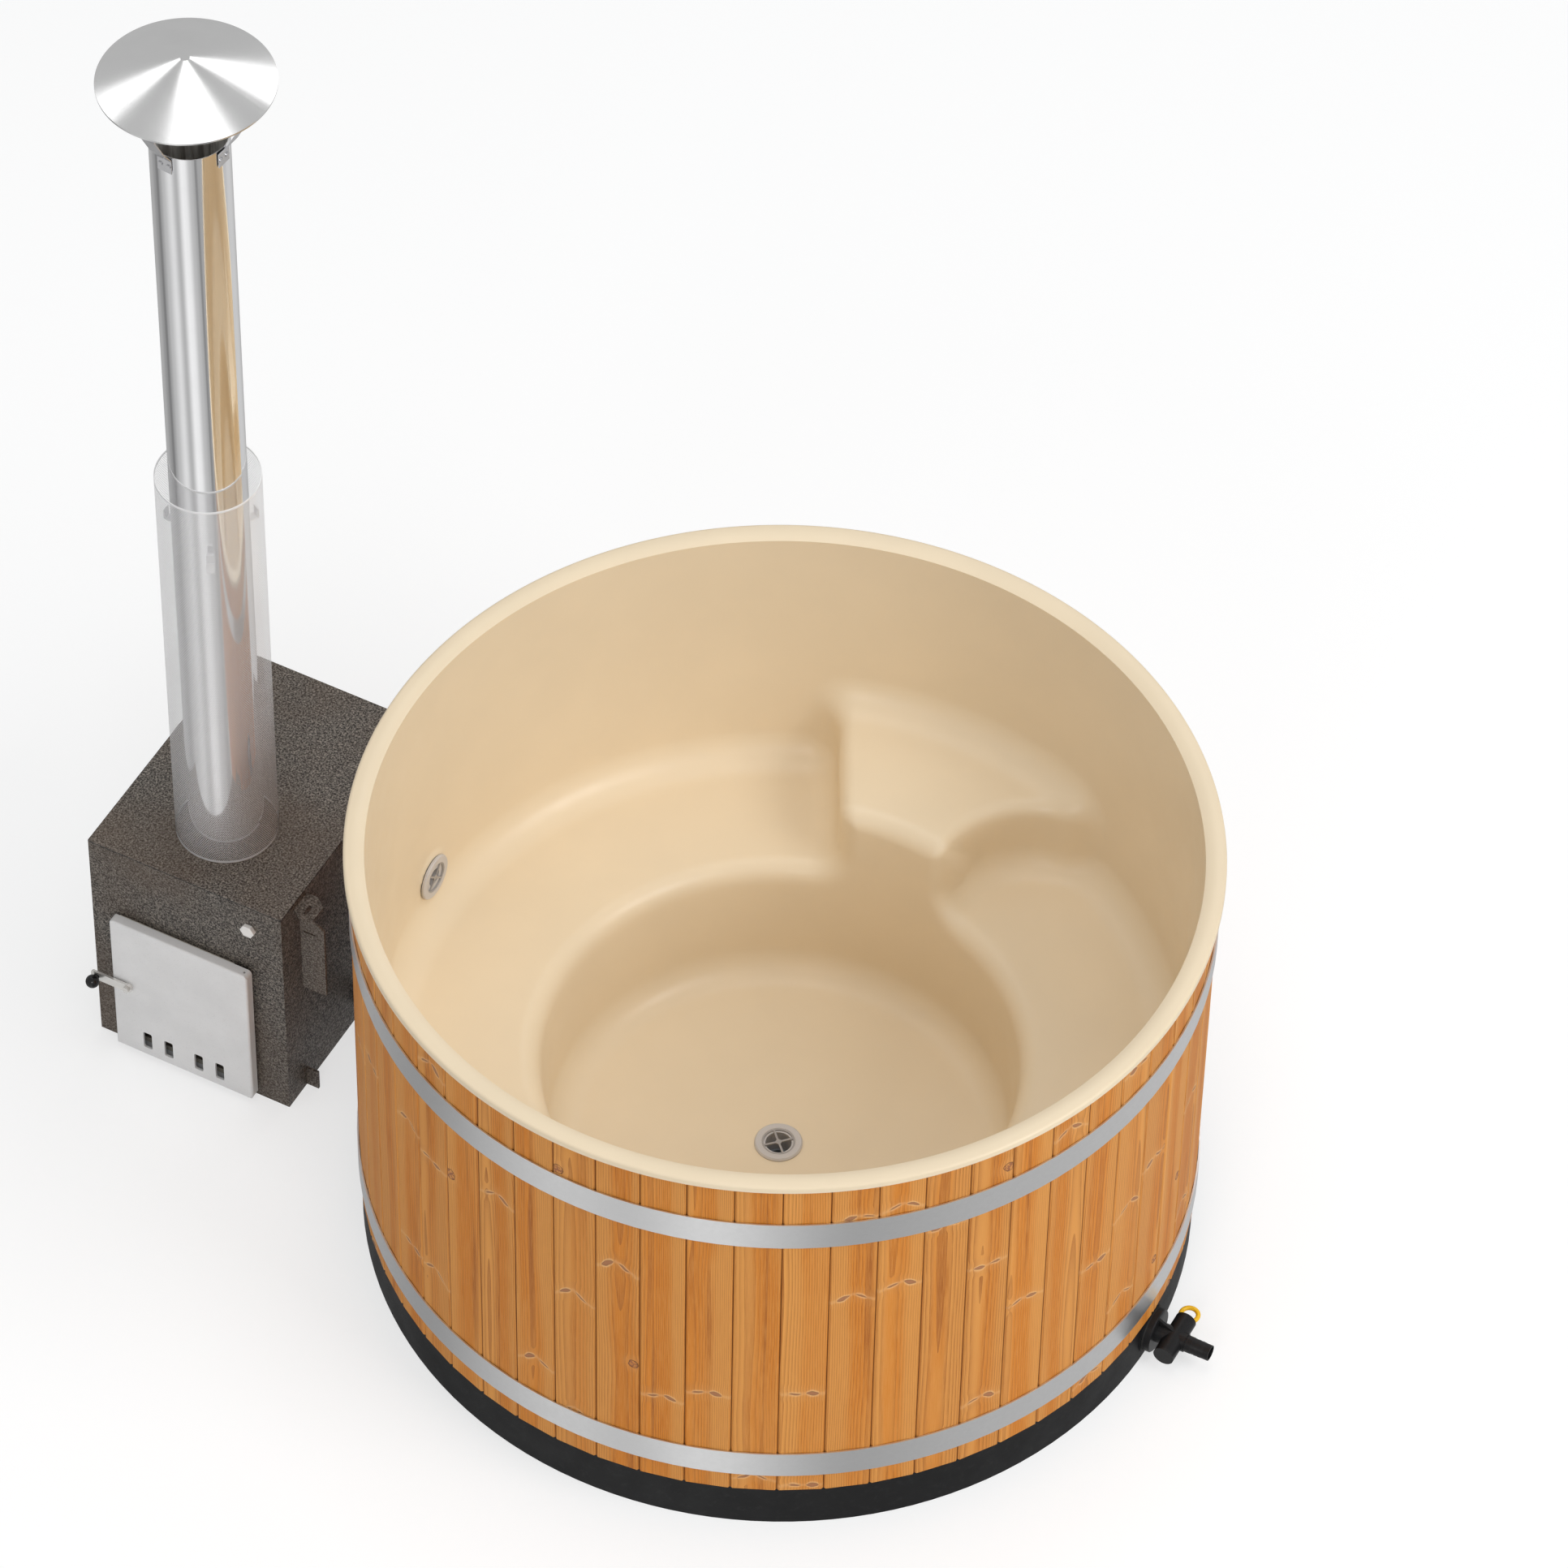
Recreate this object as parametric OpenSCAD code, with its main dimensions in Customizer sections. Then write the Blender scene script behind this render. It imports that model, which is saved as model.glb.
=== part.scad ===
// Round hot tub clad in wooden staves, with an outside wood-fired water heater.
// Units are millimetres, +Z is up and the floor is z = 0. The tub's axis is the Z axis, the heater
// stands along -X and the drain valve points along +X.

/* [Tub] */
// Height of the rim above the floor
tub_height = 1038; // [1000:1:1100]
// Radius over the lip of the rim
rim_r = 840; // [832:1:860]
// Width of the flat rim
rim_width = 40; // [37:1:46]
// Depth of the lip that turns down over the staves
rim_lip = 14; // [10:1:24]
// Rounding along both edges of the rim
rim_edge = 5; // [3:0.5:5.5]
// Wall thickness of the moulded bath
liner_wall = 6; // [5:0.5:7]
// How far the lip's inside stands off the staves
lip_gap = 4; // [3:0.5:8]

/* [Bath] */
// Height of the seat
seat_height = 425; // [400:1:450]
// How much the bath wall narrows from the rim to the seat
wall_draft = 17; // [10:1:25]
// Fillet between seat and bath wall
seat_fillet = 60; // [45:1:70]
// Rounding along the seat's inner edge
seat_nose = 30; // [20:1:36]
// Height of the foot well's floor
well_floor = 140; // [130:1:150]
// Radius of the foot well at its floor
well_r = 455; // [430:1:470]
// How much the foot well widens up to the seat
well_flare = 17; // [10:1:22]
// Fillet around the foot well's floor
well_fillet = 35; // [25:1:45]

/* [Step] */
// Height of the step
step_height = 595; // [560:1:630]
// Distance of the step's flat side from the tub axis
step_side = 118; // [105:1:130]
// Direction that the flat side's normal points in
step_angle = 28.3; // [25:0.1:32]
// Middle of the curved side, across
step_cup_x = 295; // [280:1:310]
// Middle of the curved side, along
step_cup_y = 503; // [490:1:520]
// Radius of the curved side
step_cup_r = 186; // [175:1:200]
// Fillet between the step's sides and the seat
step_fillet = 45; // [30:1:55]
// Rounding along the step's side edges
step_nose = 25; // [18:1:30]

/* [Cladding] */
// Number of staves
stave_count = 58; // [52:1:64]
// Thickness of a stave
stave_thick = 20; // [18:0.5:21]
// Gap between two staves
stave_gap = 0.4; // [0.2:0.1:1]
// Bevel along a stave's outer edges
stave_bevel = 4; // [2:0.5:5]
// Length of a stave's tongue
tongue_length = 6; // [4:0.5:7]
// Thickness of a stave's tongue
tongue_thick = 5; // [4:0.5:6]
// Room round a tongue in its groove
tongue_room = 0.4; // [0.2:0.1:0.8]
// Direction of one joint between staves
stave_joint = -56; // [-60:0.1:-52]
// Height of a hoop
hoop_height = 67; // [55:1:80]
// Thickness of a hoop
hoop_thick = 3; // [2:0.5:4]
// Lower edge of the lower hoop
lower_hoop_z = 155; // [135:1:200]
// Distance of the upper hoop's lower edge below the rim
upper_hoop_down = 184; // [160:1:250]
// Gap between the two ends of a hoop
hoop_split = 24; // [18:1:34]
// How far a hoop's lugs stand out
lug_out = 26; // [22:1:32]
// Radius of a hoop bolt's shank
hoop_bolt_r = 4; // [3:0.5:5]
// Width across flats of a hoop bolt's head and nut
hoop_bolt_flats = 13; // [12:0.5:14]
// Thickness of a hoop bolt's head and nut
hoop_bolt_head = 6; // [5:0.5:7]

/* [Base] */
// Height of the base
base_height = 105; // [102:1:120]
// How far the base stands back behind the staves
base_inset = 3; // [2:0.5:8]
// Wall thickness of the base
base_wall = 6; // [5:0.5:7]
// Width of the ledge that carries the staves
base_ledge = 30; // [26:1:40]
// Thickness of the insulation under the bath
foam_thick = 20; // [15:1:22]
// Extra room between the insulation and the step's sides
foam_ease = 14; // [10:1:16]
// Width of a floor bearer
bearer_width = 45; // [35:1:55]
// Side of a post under the seat
post_side = 60; // [45:1:70]
// Number of posts under the seat
post_count = 8; // [8:1:8]
// Distance of the posts from the tub axis
post_r = 640; // [620:1:660]

/* [Drain] */
// Radius of the strainer's flange
strainer_r = 48; // [46:0.5:52]
// Radius of the recess that holds the grille
recess_r = 33; // [32:0.5:34]
// Radius of the threaded tails in the floor and base
tail_r = 30; // [29:0.5:31]
// Bore of the strainer's tail
tail_bore_r = 26; // [24:0.5:27]
// Radius of the pipe under the floor
pipe_r = 25; // [24:0.5:26]
// Wall thickness of the pipe
pipe_wall = 3; // [2:0.5:4]
// Height of the pipe and of the drain valve
pipe_z = 54; // [52:0.5:54]
// Thickness of the gaskets
gasket_thick = 3; // [2:0.5:4]
// Radius of the valve's flange
flange_r = 45; // [43:0.5:46]
// Thickness of the valve's flange
flange_thick = 13; // [10:0.5:15]
// Distance from the base's boss to the valve's middle
valve_reach = 51; // [48:0.5:54]
// Radius of the valve's cylinder
valve_r = 21.5; // [20.5:0.5:23]
// Half length of the valve's cylinder
valve_half = 51; // [46:0.5:56]
// Radius of the piston's bore
piston_bore_r = 17; // [16.5:0.5:17.5]
// Running clearance of the piston
piston_gap = 0.1; // [0.05:0.01:0.15]
// Radius of the waterway through the valve
waterway_r = 14; // [12:0.5:14.5]
// Length of the piston's stroke
piston_stroke = 35; // [34:0.5:36]
// Radius of the drain's hose tail
hose_tail_r = 16; // [15.5:0.5:16.5]
// Radius of the tails that carry the heater's hoses
water_tail_r = 17; // [16.5:0.5:17.5]
// Length of the plain end in front of the drain tail's barbs
tail_tip = 12; // [10:1:14]
// Distance from the valve's middle to the end of its hose tail
hose_tail_reach = 78; // [70:1:90]
// Radius of the pull ring over its rim
ring_r = 22; // [20:0.5:22.5]
// Thickness of the pull ring
ring_section = 9.5; // [8:0.5:10]

/* [Return] */
// Height of the return fitting and the upper hose above the seat
return_up = 90; // [85:1:100]
// Radius of the return fitting's tail
return_tail_r = 24; // [22:0.5:25]
// Outside radius of the hoses
hose_r = 21; // [20:0.5:23]

/* [Heater] */
// Width of the heater
heater_width = 440.5; // [430:0.5:450]
// Depth of the heater
heater_depth = 587; // [570:1:610]
// Height of the heater
heater_height = 574; // [565:1:600]
// Gap between the rim and the heater's near side
heater_gap = 118; // [110:1:140]
// Sideways place of the heater's middle
heater_y = 5.5; // [0:0.5:8]
// Thickness of the heater's sheet steel
sheet = 3; // [2.5:0.5:4]
// Width of the water jacket
jacket = 34; // [28:1:38]
// Wall thickness of the firebox
firebox_wall = 4; // [3:0.5:5]
// Height of the firebox's underside
firebox_z = 26; // [22:1:26]
// Height of the firebox's top
firebox_top = 480; // [460:1:500]
// Height of the grate
grate_z = 92; // [88:1:110]
// Width of a slot in the grate
grate_slot = 12; // [8:1:14]
// Radius of the heater's plug thread
plug_r = 12; // [10:0.5:13]
// Width of the heater's plug across flats
plug_flats = 28; // [26:0.5:32]
// Height of the heater's plug
plug_z = 506; // [500:1:520]
// Distance of the plug from the heater's near side
plug_in = 75; // [70:1:80]

/* [Chimney] */
// Radius of the chimney pipe
flue_r = 75; // [70:0.5:80]
// Wall thickness of the chimney pipe
flue_wall = 1.5; // [1:0.1:2]
// Distance of the chimney behind the heater's front
flue_back = 167.6; // [160:0.1:180]
// Height of the chimney's top
flue_top = 2462; // [2300:1:2600]
// Radius of the perforated guard
guard_r = 102.5; // [98:0.5:108]
// Wall thickness of the guard
guard_wall = 1.5; // [1:0.1:2]
// Height of the guard
guard_height = 998; // [900:1:1100]
// Radius of the cap
cap_r = 165; // [155:1:180]
// Height of the cap's rim above the chimney's top
cap_gap = 126; // [115:1:136]
// Height of the cap's cone
cap_rise = 57; // [48:1:68]
// Thickness of the cap's sheet
cap_sheet = 1.5; // [1:0.1:2]
// Width of a cap leg
cap_leg_width = 31; // [25:1:36]
// Thickness of a cap leg
cap_leg_thick = 2; // [1.5:0.1:2.5]
// Radius of a rivet in the cap legs
rivet_r = 2.5; // [2:0.1:3]

/* [Door] */
// Width of the door
door_width = 317; // [312:1:322]
// Height of the door
door_height = 377; // [370:1:385]
// Thickness of the door
door_thick = 22; // [21:0.5:24]
// Height of the door's lower edge above the floor
door_z = 15; // [12:1:20]
// Distance of the door's hinge edge from the heater's near side
door_in = 68; // [64:1:72]
// Gap between the door and the heater's front
door_gap = 8; // [7:0.5:9]
// Rounding of the door's edges
door_edge = 5; // [3:0.5:6]
// Thickness of the door's front
door_skin = 5; // [4:0.5:5.5]
// Width of an air hole
air_width = 20; // [16:1:24]
// Height of an air hole
air_height = 46; // [40:1:50]
// Height of the air holes above the door's lower edge
air_up = 23; // [22:1:30]
// Distance of the inner air holes from the door's middle
air_inner = 35; // [30:1:40]
// Distance of the outer air holes from the door's middle
air_outer = 84; // [76:1:86]
// Distance of the hinge pin from the door's edge
pin_in = 11; // [11:0.5:12]
// Radius of the hinge pin
pin_r = 2.5; // [2:0.1:2.8]
// Running clearance of the pins
pin_gap = 0.1; // [0.05:0.01:0.1]
// Height of a hinge lug
lug_height = 34; // [25:1:40]
// Distance of the latch's spindle from the door's free edge
latch_in = 38; // [37:1:40]
// Height of the latch's spindle above the door's lower edge
latch_up = 197; // [185:1:210]
// Radius of the latch's spindle
spindle_r = 4; // [3.5:0.1:4.5]
// Width of the latch lever
lever_width = 22; // [18:1:24]
// Thickness of the latch lever
lever_thick = 5; // [4:0.5:6]
// Length of the latch lever from its spindle
lever_length = 83; // [75:1:90]
// Radius of the ball knob
knob_r = 14; // [12:0.5:15]

/* [Brackets] */
// Thickness of the hanger's and the tab's sheet
bracket_sheet = 5; // [4:0.5:6]
// How far the hanger stands out from the heater
hanger_out = 76; // [70:1:80]
// Height of the hanger's top
hanger_z = 557; // [545:1:562]
// Length of the hanger's plate
hanger_drop = 205; // [180:1:220]
// Height of the anchor tab
tab_height = 50; // [40:1:60]

/* [Hidden] */
steps = 6;
big = 1000;
over = 10;
touch = 0.2;
thread_gap = 0.3;
curved = 180;
rim_in = rim_r - rim_width;
stave_r = rim_r - liner_wall - lip_gap - touch;
stave_turn = 360 / stave_count;
stave_half = stave_turn / 2;
stave_face = stave_r * cos(stave_half);
stave_back = stave_face - stave_thick;
stave_top = tub_height - liner_wall;
upper_hoop_z = tub_height - upper_hoop_down;
return_z = seat_height + return_up;
heater_x = rim_r + heater_gap;
hoop_r = stave_r + touch;
hoop_out = hoop_r + hoop_thick;
hoop_bolt_y = hoop_out + lug_out / 2;
hoop_bolt_x = hoop_split / 2 + hoop_thick;
base_r = stave_r - base_inset;
boss_face = base_r + 2.2;
boss_back = base_r - base_wall - 2;
boss_r = flange_r + 4;
foam_gap = touch;
foam_under = well_floor - liner_wall - foam_gap - foam_thick;
seat_under = seat_height - liner_wall - foam_gap - foam_thick;
step_under = step_height - liner_wall - foam_gap - foam_thick - foam_ease;
floor_nut_top = well_floor - liner_wall - gasket_thick;
nut_thick = 12;
nut_r = flange_r - 2;
tee_top = floor_nut_top - nut_thick - 2;
tee_r = tail_r + 6;
tee_run_r = pipe_r + 5;
tee_half = 62;
tee_stop = 34;
tail_low = tee_top - 26;
flange_in = boss_face + gasket_thick;
flange_out = flange_in + flange_thick;
tail_in = boss_back - nut_thick - 6;
pipe_end = boss_back + 3;
valve_x = boss_face + valve_reach;
valve_tip = valve_x + hose_tail_reach;
tail_root = valve_x + valve_r + 4;
tail_plug = 7;
plug_step = 0.8;
barb_rise = 0.75;
barb_step = 9;
end_cap = 5;
piston_r = piston_bore_r - piston_gap;
piston_in = waterway_r + 1 - piston_stroke;
piston_out = valve_half - 8;
groove_r = piston_r - 2;
ring_y = piston_out + 1 + ring_r;
ring_stem_r = 4;
return_wall_r = rim_in - wall_draft * (tub_height - return_z) / (tub_height - seat_height);
return_pad = return_wall_r - 4.5;
return_face = return_pad - gasket_thick + 1;
return_flange = 6;
return_out = stave_r + 0.4;
spigot_reach = 33;
hose_in = flange_out + 7;
hose_end = heater_x - 3;
hose_bore = water_tail_r + touch;
barb_end = hose_in + spigot_reach;
clamp_r = hose_r + touch;
clamp_width = 12;
clamp_inner = hose_in + 10;
clamp_outer = hose_end - 10 - clamp_width;
heater_far = heater_x + heater_width;
heater_front = heater_y - heater_depth / 2;
heater_back = heater_y + heater_depth / 2;
heater_deck = heater_height - sheet;
box_near = heater_x + sheet + jacket;
box_far = heater_far - sheet - jacket;
box_front = heater_front + sheet + jacket;
box_back = heater_back - sheet - jacket;
flue_x = -(heater_x + heater_far) / 2;
flue_y = heater_front + flue_back;
collar_r = flue_r - flue_wall - thread_gap;
collar_wall = 2;
collar_top = heater_height + 60;
guard_top = heater_height + guard_height;
cap_z = flue_top + cap_gap;
cap_top = cap_z + cap_rise;
cap_flat = 9;
cap_seat = 0.6;
cap_slope = cap_rise / (cap_r - cap_flat);
door_right = -(heater_x + door_in);
door_left = door_right - door_width;
door_mid = (door_left + door_right) / 2;
door_back = heater_front - door_gap;
door_front = door_back - door_thick;
door_top = door_z + door_height;
door_wall = 5;
hinge_wall = 4;
pocket_front = door_front + door_skin;
pin_x = door_right - pin_in;
pin_y = door_back - 10;
eye_r = pin_r + 3.6;
eye_gap = 1;
lug_low = door_z + 50;
lug_high = door_top - 50 - lug_height;
lug_foot_x = pin_x - 25;
lug_sheet = 6;
mouth_left = door_left + 25;
mouth_right = door_mid + air_outer + air_width / 2 + 6;
mouth_low = door_z + 17;
mouth_top = door_top - 18;
seal_width = 8;
seal_out = 13;
seal_rib = 2;
spindle_x = door_left + latch_in;
spindle_z = door_z + latch_up;
washer_thick = 4;
lever_back = door_front - washer_thick;
lever_front = lever_back - lever_thick;
knob_x = spindle_x - lever_length + 13;
knob_y = lever_front - knob_r - 2;
tongue_in = heater_front + 18;

// ---- plane figures and turned walls ----

function unit(v) = v / norm(v);
function right(v) = [v[1], -v[0]];
function turn_of(a, b) = a[0] * b[1] - a[1] * b[0];
function spun(v, t) = [v[0] * cos(t) - v[1] * sin(t), v[0] * sin(t) + v[1] * cos(t)];
function way(p, i) = unit(p[i + 1] - p[i]);
// Corner i of the path p, moved by g to the path's right
function moved(p, g, i) =
  i == 0 ? p[0] + g * right(way(p, 0)) :
  i == len(p) - 1 ? p[i] + g * right(way(p, i - 1)) :
  p[i] + g * (right(way(p, i - 1)) + right(way(p, i))) / (1 + way(p, i - 1) * way(p, i));
// Points of the rounded corner i: its radius grows outside a bend and shrinks inside one
function rounded(p, radii, g, i) =
  let (a = way(p, i - 1), b = way(p, i), hand = sign(turn_of(a, b)))
  let (half = acos(a * b) / 2, r = max(radii[i] + hand * g, 2))
  let (start = moved(p, g, i) - r * tan(half) * a, mid = start - hand * r * right(a))
  [for (k = [0:steps]) mid + spun(start - mid, hand * 2 * half * k / steps)];
function path(p, radii, g) =
  concat([moved(p, g, 0)],
    [for (i = [1:len(p) - 2]) each rounded(p, radii, g, i)],
    [moved(p, g, len(p) - 1)]);

module along_x(x) {
  translate([x, 0, 0]) rotate([0, 90, 0]) children();
}

module tube(outer, inner, length) {
  difference() {
    cylinder(r = outer, h = length, $fn = curved);
    translate([0, 0, -over]) cylinder(r = inner, h = length + 2 * over, $fn = curved);
  }
}

// ---- the bath, as the space inside a wall that stands g further out ----

bowl = [[0, well_floor], [well_r, well_floor], [well_r + well_flare, seat_height],
  [rim_in - wall_draft, seat_height], [rim_in, tub_height], [rim_r, tub_height],
  [rim_r, tub_height - rim_lip]];
bowl_round = [0, well_fillet, seat_nose, seat_fillet, rim_edge, rim_edge, 0];
ledge_z = seat_height - seat_nose - 5;
wall_slope = well_flare / (seat_height - well_floor);
behind_well = (well_r + rim_in) / 2;
step_face = [[well_r + wall_slope * (ledge_z - well_floor) - touch, ledge_z],
  [well_r + wall_slope * (step_height - well_floor), step_height], [big, step_height]];
cup_face = [[0, seat_height], [step_cup_r, seat_height], [step_cup_r, step_height],
  [big, step_height]];
side_face = [[-big, seat_height], [step_side, seat_height], [step_side, step_height],
  [big, step_height]];
side_round = [0, step_fillet, step_nose, 0];
// The seat's nose is rounded up to this distance from the step's flat side
nose_end = step_side - step_fillet - foam_thick - foam_ease - liner_wall - over;

module bowl_space(g) {
  far = g > 0 ? big - 80 : big - 60;
  low = g > 0 ? 0 : over;
  ends = concat(path(bowl, bowl_round, g), [[g > 0 ? rim_r - g : rim_r, tub_height - rim_lip - low],
    [far, tub_height - rim_lip - low], [far, tub_height + 2 * over + low],
    [0, tub_height + 2 * over + low]]);
  rotate_extrude($fn = curved) polygon(ends);
}

module step_room(g) {
  rotate_extrude($fn = curved)
    polygon(concat([[0, -big], [behind_well, -big], [behind_well, ledge_z]],
      path(step_face, [0, seat_nose, 0], g),
      [[big, 2 * big], [0, 2 * big]]));
  translate([step_cup_x, step_cup_y, 0]) rotate_extrude($fn = curved)
    polygon(concat(path(cup_face, side_round, g), [[big, 2 * big], [0, 2 * big]]));
  rotate([0, 0, step_angle]) rotate([90, 0, 0]) linear_extrude(3 * big, center = true)
    union() {
      polygon(concat(path(side_face, side_round, g), [[big, 2 * big], [-big, 2 * big]]));
      translate([-big, -big]) square([big + nose_end + g, 2 * big]);
    }
  translate([step_cup_x - g, -big, -big]) cube([2 * big, 2 * big, 3 * big]);
}

module bath_space(g) {
  intersection() {
    bowl_space(g);
    step_room(g);
  }
}

// The same space without the rim, for the insulation
module foam_space(g) {
  wall = [for (k = [0:4]) bowl[k]];
  intersection() {
    rotate_extrude($fn = curved) polygon(concat(path(wall, bowl_round, g), [[0, tub_height]]));
    step_room(g + foam_ease);
  }
}

module return_hole(r) {
  translate([0, 0, return_z]) along_x(-big)
    cylinder(r = r, h = big - return_face + strainer_r, $fn = curved);
}

module liner() {
  color([0.84, 0.75, 0.62]) difference() {
    union() {
      difference() {
        bath_space(liner_wall);
        bath_space(0);
        translate([0, 0, tub_height]) cylinder(r = big + over, h = 4 * over, $fn = curved);
      }
      difference() {
        translate([0, 0, return_z]) along_x(-return_wall_r - liner_wall)
          cylinder(r = strainer_r + 4, h = return_wall_r + liner_wall - return_pad, $fn = curved);
        difference() {
          cylinder(r = big, h = tub_height, $fn = curved);
          cylinder(r = return_wall_r + 2, h = tub_height, $fn = curved);
        }
      }
    }
    return_hole(return_tail_r + thread_gap);
    cylinder(r = tail_r + thread_gap, h = seat_height, $fn = curved);
  }
}

module insulation() {
  color([0.92, 0.86, 0.6]) difference() {
    intersection() {
      difference() {
        foam_space(liner_wall + foam_gap + foam_thick);
        foam_space(liner_wall + foam_gap);
      }
      cylinder(r = stave_back - 1, h = tub_height - liner_wall - foam_thick - over, $fn = curved);
    }
    cylinder(r = nut_r + 8, h = seat_height, $fn = curved);
    return_hole(strainer_r + 6);
  }
}

module supports() {
  color([0.72, 0.55, 0.36]) {
    for (side = [-1, 1])
      for (row = [110, 330])
        translate([0, side * row, (base_wall + foam_under) / 2])
          cube([2 * sqrt(pow(well_r - 40, 2) - row * row), bearer_width, foam_under - base_wall],
            center = true);
    for (k = [0:post_count - 1])
      rotate([0, 0, (k + 0.5) * 360 / post_count])
        translate([post_r - post_side / 2, -post_side / 2, base_wall])
          cube([post_side, post_side, seat_under - base_wall]);
    rotate([0, 0, 88]) translate([post_r - post_side / 2, -post_side / 2, base_wall])
      cube([post_side, post_side, step_under - base_wall]);
  }
}

// ---- cladding and base ----

function stave_side(x) = x * tan(stave_half) - stave_gap / 2;

module stave_plan() {
  bevel_x = stave_face - stave_bevel;
  wide = stave_side(stave_face) - stave_bevel;
  mid = stave_face - stave_thick / 2;
  difference() {
    union() {
      polygon([[stave_face, wide], [bevel_x, stave_side(bevel_x)],
        [stave_back, stave_side(stave_back)], [stave_back, -stave_side(stave_back)],
        [bevel_x, -stave_side(bevel_x)], [stave_face, -wide]]);
      rotate(stave_half) translate([mid - tongue_thick / 2, -stave_gap - 1])
        square([tongue_thick, tongue_length + stave_gap / 2 + 1]);
    }
    rotate(-stave_half) translate([mid - tongue_thick / 2 - tongue_room, -1])
      square([tongue_thick + 2 * tongue_room, tongue_length + stave_gap / 2 + tongue_room + 1]);
  }
}

module staves() {
  color([0.72, 0.44, 0.2])
    for (k = [0:stave_count - 1]) {
      az = stave_joint + (k + 0.5) * stave_turn;
      difference() {
        rotate([0, 0, az]) translate([0, 0, base_height])
          linear_extrude(stave_top - base_height) stave_plan();
        if (cos(az) < cos(180 - 1.6 * stave_turn))
          return_hole(return_tail_r + 1);
      }
    }
}

module hoop(low) {
  lug_in = hoop_r - 1.4;
  translate([0, 0, low]) difference() {
    union() {
      tube(hoop_out, hoop_r, hoop_height);
      for (side = [-1, 1])
        translate([side * (hoop_bolt_x - hoop_thick / 2) - hoop_thick / 2, hoop_r, 0])
          cube([hoop_thick, hoop_out + lug_out - hoop_r, hoop_height]);
    }
    translate([-hoop_split / 2, lug_in, -over])
      cube([hoop_split, lug_out + 3 * over, hoop_height + 2 * over]);
    for (z = [hoop_height / 4, 3 * hoop_height / 4])
      translate([0, hoop_bolt_y, z]) along_x(-hoop_split)
        cylinder(r = hoop_bolt_r + thread_gap, h = 2 * hoop_split, $fn = curved);
  }
}

module upper_hoop() {
  color([0.76, 0.77, 0.78]) hoop(upper_hoop_z);
}

module lower_hoop() {
  color([0.76, 0.77, 0.78]) hoop(lower_hoop_z);
}

module at_hoop_bolts() {
  for (low = [lower_hoop_z, upper_hoop_z])
    for (z = [hoop_height / 4, 3 * hoop_height / 4])
      translate([0, hoop_bolt_y, low + z]) children();
}

module hoop_bolts() {
  head_r = hoop_bolt_flats / 2 / cos(30);
  color([0.7, 0.71, 0.72]) at_hoop_bolts() {
    along_x(hoop_bolt_x) cylinder(r = head_r, h = hoop_bolt_head, $fn = 6);
    along_x(-hoop_bolt_x - hoop_bolt_head - 3)
      cylinder(r = hoop_bolt_r, h = 2 * hoop_bolt_x + hoop_bolt_head + 4, $fn = curved);
  }
}

module hoop_nuts() {
  head_r = hoop_bolt_flats / 2 / cos(30);
  color([0.7, 0.71, 0.72]) at_hoop_bolts() along_x(-hoop_bolt_x - hoop_bolt_head) difference() {
    cylinder(r = head_r, h = hoop_bolt_head, $fn = 6);
    translate([0, 0, -1])
      cylinder(r = hoop_bolt_r + touch, h = hoop_bolt_head + 2, $fn = curved);
  }
}

module wall_boss() {
  along_x(boss_back) cylinder(r = boss_r, h = boss_face - boss_back, $fn = curved);
}

module base_tray() {
  inner = base_r - base_wall;
  color([0.13, 0.13, 0.135]) difference() {
    union() {
      rotate_extrude($fn = curved) polygon([[0, 0], [base_r, 0], [base_r, base_height],
        [base_r - base_ledge, base_height], [base_r - base_ledge, base_height - base_wall],
        [inner, base_height - base_wall], [inner, base_wall], [0, base_wall]]);
      intersection() {
        translate([0, 0, pipe_z]) {
          wall_boss();
          mirror([1, 0, 0]) wall_boss();
        }
        translate([-big, -big, 0]) cube([2 * big, 2 * big, base_height]);
      }
    }
    translate([0, 0, pipe_z]) along_x(-big)
      cylinder(r = tail_r + thread_gap, h = 2 * big, $fn = curved);
  }
}

// ---- strainer, pipes and drain valve ----

module strainer_body() {
  brim = well_floor + 6;
  color([0.68, 0.67, 0.65]) rotate_extrude($fn = curved)
    polygon([[tail_bore_r, tail_low], [tail_r, tail_low], [tail_r, well_floor],
      [strainer_r, well_floor], [strainer_r, well_floor + 3], [strainer_r - 3, brim],
      [recess_r + 1, brim], [recess_r, brim - 1], [recess_r, well_floor + 2],
      [tail_bore_r, well_floor + 2]]);
}

module spoked_grille(r) {
  rim = 3;
  hub = 6;
  spoke = 4;
  tube(r, r - rim, 3);
  cylinder(r = hub, h = 3, $fn = curved);
  for (k = [0:3])
    rotate([0, 0, 45 + 90 * k]) translate([hub - 1, -spoke / 2, 0])
      cube([r - rim - hub + 2, spoke, 3]);
}

module strainer_grille() {
  color([0.6, 0.59, 0.57]) translate([0, 0, well_floor + 2]) spoked_grille(recess_r - touch);
}

module strainer_gasket() {
  color([0.1, 0.1, 0.1]) translate([0, 0, floor_nut_top])
    tube(nut_r, tail_r + thread_gap, gasket_thick);
}

module ring_nut(inner) {
  difference() {
    cylinder(r = nut_r, h = nut_thick, $fn = 8);
    translate([0, 0, -over]) cylinder(r = inner, h = nut_thick + 2 * over, $fn = curved);
  }
}

module strainer_nut() {
  color([0.2, 0.2, 0.2]) translate([0, 0, floor_nut_top - nut_thick]) ring_nut(tail_r + touch);
}

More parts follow.
